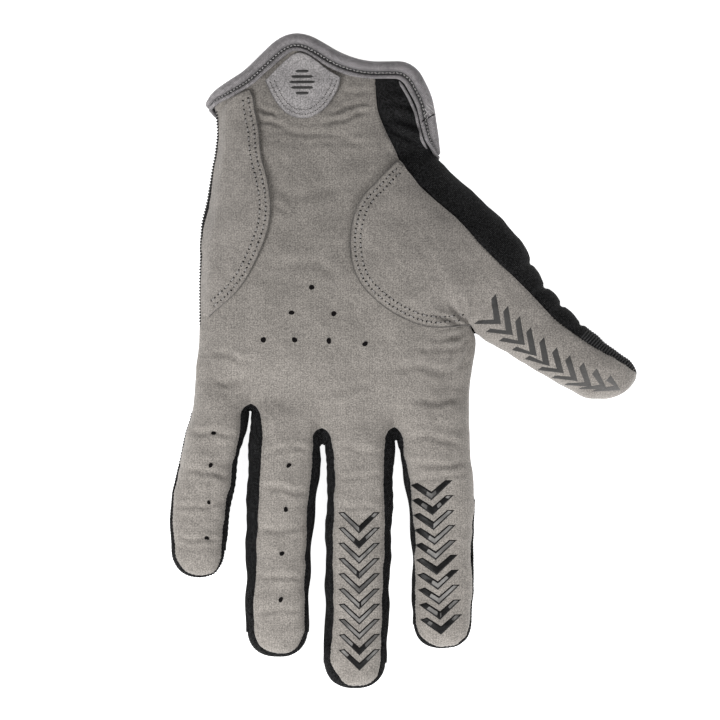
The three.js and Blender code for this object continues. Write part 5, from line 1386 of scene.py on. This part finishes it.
finger_chevrons((359, 532.6), (359.5, 669.8), 20.3, 5.9, 20.2, 0.5, MIDDLE_TONE)
finger_chevrons((431.3, 499.5), (440.9, 633.8), 20.3, 6.8, 16.8, 7.2, INDEX_TONE, thick=7.9, cut=2.4)
TA = [(500, 324), (512, 335), (524, 345), (536, 356), (549, 366), (563, 373), (577, 381), (591, 386.5), (606, 389), (620, 390)]
TU = [(495, 295), (507, 307), (519, 317), (530, 328), (543, 338), (556, 348), (569, 356), (583, 363), (596, 369), (610, 375.5)]
TL = [(474, 324), (486, 332), (499, 341), (512, 350), (525, 359), (538, 370), (552, 378), (565, 385), (579, 389), (592, 391.5)]
for k, (a, u, l) in enumerate(zip(TA, TU, TL)):
    slim = 1.0 - 0.5 * float(ease((k - 4.5) / 3.0))
    chevron(matt, a, (a[0] - 6.6, a[1] - 4.2), l, (l[0] + 4 * slim, l[1] - 3.2 * slim), (u[0] - 4.4, u[1] + 4.8), (u[0], u[1]), height=0.09)

# small grip bars on the wrist tab
for k, (w, dy) in enumerate(((6.5, -11), (11, -5.5), (13, 0), (11, 5.5), (6.5, 11))):
    cx, cy = 302.5, 84 + dy
    v, m, n = [], 5, 16
    for i in range(n + 1):
        t = i / n * 2 - 1
        x = cx + w * t
        wid = 1.25 * math.sqrt(max(0.0, 1 - t ** 8))
        for ww, h in ((-1.1, 0), (-0.9, 0.8), (0, 1.0), (0.9, 0.8), (1.1, 0)):
            P, N = on_surface(x, cy + ww * wid)
            v.append(P + N * (0.012 + 0.12 * h))
    matt.add(v, [[i * m + j, (i + 1) * m + j, (i + 1) * m + j + 1, i * m + j + 1] for i in range(n) for j in range(m - 1)])

# ------------------------------------------------------------------ materials
def material(name, base, rough, build):
    m = bpy.data.materials.new(name)
    m.use_nodes = True
    nt = m.node_tree
    bsdf = nt.nodes["Principled BSDF"]
    bsdf.inputs["Base Color"].default_value = (*base, 1)
    bsdf.inputs["Roughness"].default_value = rough
    build(nt, bsdf)
    return m


def node(nt, kind, **inputs):
    n = nt.nodes.new(kind)
    for k, v in inputs.items():
        if k.startswith("_"):
            setattr(n, k[1:], v)
        else:
            n.inputs[k.replace("_", " ")].default_value = v
    return n


def coords(nt):
    return nt.nodes.new("ShaderNodeTexCoord").outputs["Object"]


def noise(nt, co, scale, detail=3.0, rough=0.6, distortion=0.0):
    n = node(nt, "ShaderNodeTexNoise", Scale=scale, Detail=detail, Roughness=rough, Distortion=distortion)
    nt.links.new(co, n.inputs["Vector"])
    return n.outputs["Fac"]


def ramp(nt, fac, stops, linear=True):
    r = nt.nodes.new("ShaderNodeValToRGB")
    e = r.color_ramp.elements
    while len(e) < len(stops):
        e.new(0.5)
    for el, (p, c) in zip(e, stops):
        el.position = p
        el.color = (*c, 1) if len(c) == 3 else c
    nt.links.new(fac, r.inputs["Fac"])
    return r.outputs["Color"]


def blend_rgb(nt, a, b, fac, mode="MIX"):
    m = nt.nodes.new("ShaderNodeMix")
    m.data_type = "RGBA"
    m.blend_type = mode
    for sock, val in (("A", a), ("B", b)):
        s = [i for i in m.inputs if i.name == sock and i.type == "RGBA"][0]
        if isinstance(val, tuple):
            s.default_value = (*val, 1)
        else:
            nt.links.new(val, s)
    f = [i for i in m.inputs if i.name == "Factor" and i.type == "VALUE"][0]
    if isinstance(fac, (int, float)):
        f.default_value = fac
    else:
        nt.links.new(fac, f)
    return [o for o in m.outputs if o.type == "RGBA"][0]


def math_node(nt, op, a, b=None):
    m = nt.nodes.new("ShaderNodeMath")
    m.operation = op
    for i, v in enumerate((a, b)):
        if v is None:
            continue
        if isinstance(v, (int, float)):
            m.inputs[i].default_value = v
        else:
            nt.links.new(v, m.inputs[i])
    return m.outputs[0]


def add_bump(nt, bsdf, height, strength, distance):
    b = node(nt, "ShaderNodeBump", Strength=strength, Distance=distance)
    nt.links.new(height, b.inputs["Height"])
    nt.links.new(b.outputs["Normal"], bsdf.inputs["Normal"])


def knit(nt, co, sx, sy, angle=0.0):
    """Fine crossed lines of a knitted ground, 0..1."""
    mp = node(nt, "ShaderNodeMapping")
    mp.inputs["Rotation"].default_value = (0, 0, angle)
    nt.links.new(co, mp.inputs["Vector"])
    out = []
    for direction, s in (("X", sx), ("Y", sy)):
        w = node(nt, "ShaderNodeTexWave", Scale=s, Distortion=1.4, Detail=1.0)
        w.bands_direction = direction
        w.inputs["Detail Scale"].default_value = 3.0
        nt.links.new(mp.outputs["Vector"], w.inputs["Vector"])
        out.append(w.outputs["Fac"])
    return math_node(nt, "MULTIPLY", out[0], out[1])


def suede(light, dark, seed=0.0, speck=0.74, wrist=0.84):
    """Brushed suede: fine nap with faint cross lines; painted shade makes it a little darker towards the wrist, where
    less light falls, and darker along the seams marked by 'tone'.
    """
    def build(nt, bsdf):
        co = coords(nt)
        mott = noise(nt, co, 95 + seed, 3, 0.55, 0.3)
        mid = noise(nt, co, 520, 2, 0.6)
        fine = noise(nt, co, 2300, 2, 0.75)
        grid = knit(nt, co, 330, 530)
        col = ramp(nt, mott, [(0.30, dark), (0.72, light)])
        col = blend_rgb(nt, col, ramp(nt, mid, [(0.32, tuple(v * 0.84 for v in dark)), (0.68, tuple(min(1, v * 1.08) for v in light))]), 0.22)
        col = blend_rgb(nt, col, ramp(nt, fine, [(0.36, (0.42, 0.42, 0.42)), (0.64, (1.58, 1.58, 1.58))]), speck, "MULTIPLY")
        col = blend_rgb(nt, col, ramp(nt, grid, [(0.0, (0.78, 0.78, 0.78)), (0.7, (1.14, 1.14, 1.14))]), 0.45, "MULTIPLY")
        # painted shade: a gradient along Y, darker towards the wrist where less light reaches
        sep = nt.nodes.new("ShaderNodeSeparateXYZ")
        nt.links.new(co, sep.inputs["Vector"])
        along = nt.nodes.new("ShaderNodeMapRange")
        along.inputs["From Min"].default_value = -0.045
        along.inputs["From Max"].default_value = 0.035
        along.inputs["To Min"].default_value = 1.0
        along.inputs["To Max"].default_value = 0.0
        nt.links.new(sep.outputs["Y"], along.inputs["Value"])
        col = blend_rgb(nt, col, ramp(nt, along.outputs["Result"], [(0.0, (wrist, wrist, wrist)), (1.0, (1.06, 1.06, 1.06))]), 1.0, "MULTIPLY")
        # painted shade: the suede is darkened along patch seams where 'tone' is set
        at = nt.nodes.new("ShaderNodeAttribute")
        at.attribute_name = "tone"
        col = blend_rgb(nt, col, (0.035, 0.033, 0.031), math_node(nt, "MULTIPLY", at.outputs["Fac"], 0.8))
        nt.links.new(col, bsdf.inputs["Base Color"])
        bsdf.inputs["Sheen Weight"].default_value = 0.15
        bsdf.inputs["Sheen Roughness"].default_value = 0.6
        bsdf.inputs["Specular IOR Level"].default_value = 0.12
        h = math_node(nt, "ADD", math_node(nt, "MULTIPLY", fine, 0.5), math_node(nt, "MULTIPLY", grid, 0.3))
        h = math_node(nt, "ADD", h, math_node(nt, "MULTIPLY", mid, 0.25))
        add_bump(nt, bsdf, h, 0.5, 0.00018)
    return build


def stretch(nt, bsdf):
    co = coords(nt)
    fine = noise(nt, co, 2100, 2, 0.7)
    grid = knit(nt, co, 620, 620, 0.7)
    big = noise(nt, co, 160, 3, 0.6)
    col = ramp(nt, grid, [(0.0, (0.0030, 0.0030, 0.0032)), (0.8, (0.0200, 0.0200, 0.0205))])
    col = blend_rgb(nt, col, ramp(nt, fine, [(0.40, (0.12, 0.12, 0.12)), (0.62, (2.9, 2.9, 2.9))]), 0.9, "MULTIPLY")
    col = blend_rgb(nt, col, ramp(nt, big, [(0.3, (0.7, 0.7, 0.7)), (0.7, (1.3, 1.3, 1.3))]), 0.6, "MULTIPLY")
    # painted highlight: where 'tone' is set (the thumb's rib crests) the black cloth is painted lighter
    at = nt.nodes.new("ShaderNodeAttribute")
    at.attribute_name = "tone"
    col = blend_rgb(nt, col, (0.105, 0.105, 0.106), math_node(nt, "MULTIPLY", at.outputs["Fac"], 0.5))
    nt.links.new(col, bsdf.inputs["Base Color"])
    bsdf.inputs["Sheen Weight"].default_value = 0.0
    bsdf.inputs["Sheen Roughness"].default_value = 0.4
    bsdf.inputs["Specular IOR Level"].default_value = 0.06
    add_bump(nt, bsdf, math_node(nt, "ADD", grid, math_node(nt, "MULTIPLY", fine, 0.7)), 0.5, 0.00016)


def tape_mat(nt, bsdf):
    co = coords(nt)
    fine = noise(nt, co, 1700, 3, 0.7)
    grid = knit(nt, co, 560, 560, 0.78)
    big = noise(nt, co, 190, 3, 0.6)
    col = ramp(nt, big, [(0.3, (0.180, 0.170, 0.175)), (0.7, (0.276, 0.260, 0.266))])
    col = blend_rgb(nt, col, ramp(nt, grid, [(0.0, (0.55, 0.55, 0.55)), (0.8, (1.32, 1.32, 1.32))]), 0.7, "MULTIPLY")
    col = blend_rgb(nt, col, ramp(nt, fine, [(0.38, (0.5, 0.5, 0.5)), (0.64, (1.4, 1.4, 1.4))]), 0.7, "MULTIPLY")
    # painted shade: the tape is darkened in its groove where 'tone' is set
    at = nt.nodes.new("ShaderNodeAttribute")
    at.attribute_name = "tone"
    col = blend_rgb(nt, col, (0.030, 0.029, 0.030), math_node(nt, "MULTIPLY", at.outputs["Fac"], 0.85))
    nt.links.new(col, bsdf.inputs["Base Color"])
    bsdf.inputs["Sheen Weight"].default_value = 0.2
    bsdf.inputs["Specular IOR Level"].default_value = 0.3
    add_bump(nt, bsdf, math_node(nt, "ADD", grid, math_node(nt, "MULTIPLY", fine, 0.5)), 0.5, 0.0002)


def gloss_mat(nt, bsdf):
    co = coords(nt)
    mp = node(nt, "ShaderNodeMapping")
    mp.inputs["Scale"].default_value = (1.0, 0.55, 1.0)
    nt.links.new(co, mp.inputs["Vector"])
    big = noise(nt, mp.outputs["Vector"], 125, 2.5, 0.6, 0.6)
    fine = noise(nt, co, 1500, 2, 0.6)
    # painted reflection: the grey base colour stands for soft light mirrored in the glossy black print; 'tone' and
    # noise pick where the print's own black shows instead
    grey = ramp(nt, big, [(0.36, (0.070, 0.068, 0.066)), (0.50, (0.140, 0.136, 0.131)), (0.64, (0.235, 0.228, 0.220))])
    grey = blend_rgb(nt, grey, ramp(nt, fine, [(0.3, (0.7, 0.7, 0.7)), (0.7, (1.2, 1.2, 1.2))]), 0.5, "MULTIPLY")
    black = ramp(nt, fine, [(0.3, (0.002, 0.002, 0.002)), (0.75, (0.010, 0.010, 0.010))])
    at = nt.nodes.new("ShaderNodeAttribute")
    at.attribute_name = "tone"
    patchy = math_node(nt, "ADD", at.outputs["Fac"], math_node(nt, "MULTIPLY", math_node(nt, "SUBTRACT", noise(nt, co, 700, 3, 0.7), 0.5), 0.5))
    sel = ramp(nt, patchy, [(0.30, (0, 0, 0)), (0.46, (1, 1, 1))])
    col = blend_rgb(nt, grey, black, sel)
    nt.links.new(col, bsdf.inputs["Base Color"])
    bsdf.inputs["Specular IOR Level"].default_value = 0.14
    bsdf.inputs["Coat Weight"].default_value = 0.02
    bsdf.inputs["Coat Roughness"].default_value = 0.25
    add_bump(nt, bsdf, fine, 0.25, 0.0001)


def matt_mat(nt, bsdf):
    co = coords(nt)
    sep = nt.nodes.new("ShaderNodeSeparateXYZ")
    nt.links.new(co, sep.inputs["Vector"])
    fade = nt.nodes.new("ShaderNodeMapRange")
    fade.inputs["From Min"].default_value = (555 - PLAN_X0) * SQUARE * MM
    fade.inputs["From Max"].default_value = (618 - PLAN_X0) * SQUARE * MM
    nt.links.new(sep.outputs["X"], fade.inputs["Value"])
    fine = noise(nt, co, 1900, 3, 0.7)
    col = blend_rgb(nt, (0.030, 0.029, 0.028), (0.105, 0.101, 0.098), fade.outputs["Result"])
    col = blend_rgb(nt, col, ramp(nt, fine, [(0.3, (0.6, 0.6, 0.6)), (0.7, (1.4, 1.4, 1.4))]), 0.6, "MULTIPLY")
    nt.links.new(col, bsdf.inputs["Base Color"])
    bsdf.inputs["Specular IOR Level"].default_value = 0.3
    add_bump(nt, bsdf, fine, 0.4, 0.00015)


def thread_mat(dark, light):
    def build(nt, bsdf):
        co = coords(nt)
        n = noise(nt, co, 2600, 2, 0.6)
        nt.links.new(ramp(nt, n, [(0.3, dark), (0.7, light)]), bsdf.inputs["Base Color"])
        bsdf.inputs["Specular IOR Level"].default_value = 0.35
        add_bump(nt, bsdf, n, 0.4, 0.0001)
    return build


# painted shade: near-black colour for the shaded inside of needle holes, vent holes and seam pits
def hole_mat(nt, bsdf):
    co = coords(nt)
    n = noise(nt, co, 2200, 2, 0.6)
    nt.links.new(ramp(nt, n, [(0.3, (0.002, 0.002, 0.002)), (0.7, (0.009, 0.008, 0.008))]), bsdf.inputs["Base Color"])
    bsdf.inputs["Specular IOR Level"].default_value = 0.05


M = {
    "suede": material("suede", (0.24, 0.22, 0.2), 0.95, suede((0.268, 0.247, 0.225), (0.216, 0.199, 0.181))),
    "suede_patch": material("suede_patch", (0.26, 0.24, 0.22), 0.95, suede((0.266, 0.245, 0.224), (0.214, 0.197, 0.180), 15, wrist=0.87)),
    "tab": material("tab", (0.3, 0.28, 0.28), 0.9, suede((0.350, 0.333, 0.332), (0.268, 0.255, 0.257), 60, 0.8, 0.95)),
    "stretch": material("stretch", (0.015, 0.015, 0.015), 0.8, stretch),
    "tape": material("tape", (0.2, 0.19, 0.2), 0.75, tape_mat),
    "gloss": material("print_gloss", (0.02, 0.02, 0.02), 0.42, gloss_mat),
    "matt": material("print_matt", (0.04, 0.04, 0.04), 0.6, matt_mat),
    "thread": material("thread", (0.25, 0.24, 0.23), 0.7, thread_mat((0.14, 0.132, 0.13), (0.34, 0.325, 0.315))),
    "tape_thread": material("tape_thread", (0.35, 0.34, 0.34), 0.7, thread_mat((0.26, 0.25, 0.25), (0.50, 0.485, 0.48))),
    "hole": material("hole", (0.01, 0.01, 0.01), 0.95, hole_mat),
}

pieces["needle_holes"] = holes.build("needle_and_vent_holes")
pieces["seam_pits"] = fine_holes.build("seam_pits")
pieces["threads"] = thread.build("threads")
pieces["tape_threads"] = tape_thread.build("tape_threads")
pieces["tape_lap"] = fold_bits.build("tape_lap")
pieces["grip_gloss"] = gloss.build("grip_bars_fingers")
pieces["grip_matt"] = matt.build("grip_bars_thumb_and_tab")

RIMS = {"rim_" + k: ([], "stretch", "stretch_fabric") for k in ORDER + ["side"]}
FINISH = {  # piece: CAD nodes, material, slot
    "palm": (["palm_panel"], "suede", "palm_suede"), "back": (["back_panel"], "stretch", "stretch_fabric"),
    "thumb_front": (["thumb_panel"], "suede_patch", "palm_suede"), "thumb_back": (["thumb_back"], "stretch", "stretch_fabric"),
    "heel": (["heel_patch"], "suede_patch", "palm_suede"), "tab": (["wrist_tab"], "tab", "tab_fabric"),
    "binding": (["cuff_binding"], "tape", "binding_tape"),
    "web_pinky_ring": (["web_pinky_ring"], "stretch", "stretch_fabric"), "web_ring_middle": (["web_ring_middle"], "stretch", "stretch_fabric"),
    "web_middle_index": (["web_middle_index"], "stretch", "stretch_fabric"),
    **RIMS, "seam_pits": ([], "hole", None), "tape_lap": ([], "tape", "binding_tape"),
    "needle_holes": ([], "hole", None), "threads": ([], "thread", None), "tape_threads": ([], "tape_thread", None), "grip_gloss": ([], "gloss", None), "grip_matt": ([], "matt", None),
}
for key, (nodes, mat, sl) in FINISH.items():
    ob = pieces[key]
    ob.data.materials.append(M[mat])
    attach(ob, "root")
    if nodes:
        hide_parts(*nodes)
    print(key, "faces", len(ob.data.polygons))


# ------------------------------------------------------------------ what each cloth piece was cut to
def flat_area(name):
    P, q = surf[name]
    a, b, c, d = (P[q[:, i]] for i in range(4))
    return float(np.linalg.norm(np.cross(c - a, d - b), axis=1).sum() / 2)


CUTS = {  # width, length (mm), flat area (cm2), pieces sewn on
    "palm": (128, 240, 181, ["grip_gloss", "seam_pits"]), "back": (118, 214, 160, ["rim_" + k for k in ORDER + ["side"]]),
    "thumb_front": (66, 114, 38.5, []), "thumb_back": (98, 136, 55, []), "heel": (30, 88, 17.6, []), "tab": (28, 27, 4.3, []),
    "web_pinky_ring": (17, 125, 18, []), "web_ring_middle": (17, 150, 20, []), "web_middle_index": (17, 150, 20, []),
    "binding": (12, 262, 30, ["tape_lap", "tape_threads"])}
for k, (w, l, area, sewn) in CUTS.items():
    me = pieces[k].data
    print("cut", k, "modelled cm2", round(sum(q.area for q in me.polygons) * 1e4 / 2, 2), "flat", area)
    [pieces[x] for x in sewn]

# ------------------------------------------------------------------ floor, light, camera
bpy.ops.mesh.primitive_plane_add(size=6)
floor = bpy.context.object
floor.name = "floor"
floor.location.z = -0.0004


def floor_mat(nt, bsdf):
    n = noise(nt, coords(nt), 30, 2, 0.5)
    nt.links.new(ramp(nt, n, [(0.0, (0.93, 0.93, 0.93)), (1.0, (0.95, 0.95, 0.95))]), bsdf.inputs["Base Color"])
    bsdf.inputs["Specular IOR Level"].default_value = 0.0
    bsdf.inputs["Emission Color"].default_value = (1, 1, 1, 1)
    bsdf.inputs["Emission Strength"].default_value = 0.9


floor.data.materials.append(material("floor", (0.94, 0.94, 0.94), 1.0, floor_mat))
floor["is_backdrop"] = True

world = bpy.data.worlds.new("studio")
bpy.context.scene.world = world
world.use_nodes = True
world.node_tree.nodes["Background"].inputs["Color"].default_value = (1, 1, 1, 1)
world.node_tree.nodes["Background"].inputs["Strength"].default_value = 0.34


def area_light(name, loc, size, power, target=(0, 0, 0)):
    d = bpy.data.lights.new(name, "AREA")
    d.shape = "RECTANGLE"
    d.size, d.size_y = size
    d.energy = power
    o = bpy.data.objects.new(name, d)
    bpy.context.scene.collection.objects.link(o)
    o.location = loc
    o.rotation_euler = (Vector(target) - Vector(loc)).to_track_quat("-Z", "Y").to_euler()
    return o


area_light("key", (-0.85, -0.60, 0.85), (0.5, 0.6), 16.5, (0, -0.03, 0))
area_light("fill", (0.45, -0.62, 0.62), (0.7, 0.5), 6.0, (0, -0.03, 0))

cam_d = bpy.data.cameras.new("camera")
cam = bpy.data.objects.new("camera", cam_d)
bpy.context.scene.collection.objects.link(cam)
bpy.context.scene.camera = cam
DIST = 1.6
cam.location = ((360 - PLAN_X0) * SQUARE * MM, (PLAN_Y0 - 360) * SQUARE * MM, DIST)
cam_d.sensor_width = 36
cam_d.lens = 36 * (DIST - 0.010) / (720 * SQUARE * MM)
cam_d.clip_start, cam_d.clip_end = 0.05, 20

bpy.context.scene.view_settings.view_transform = "Standard"
bpy.context.scene.view_settings.look = "None"

write_size("visual")
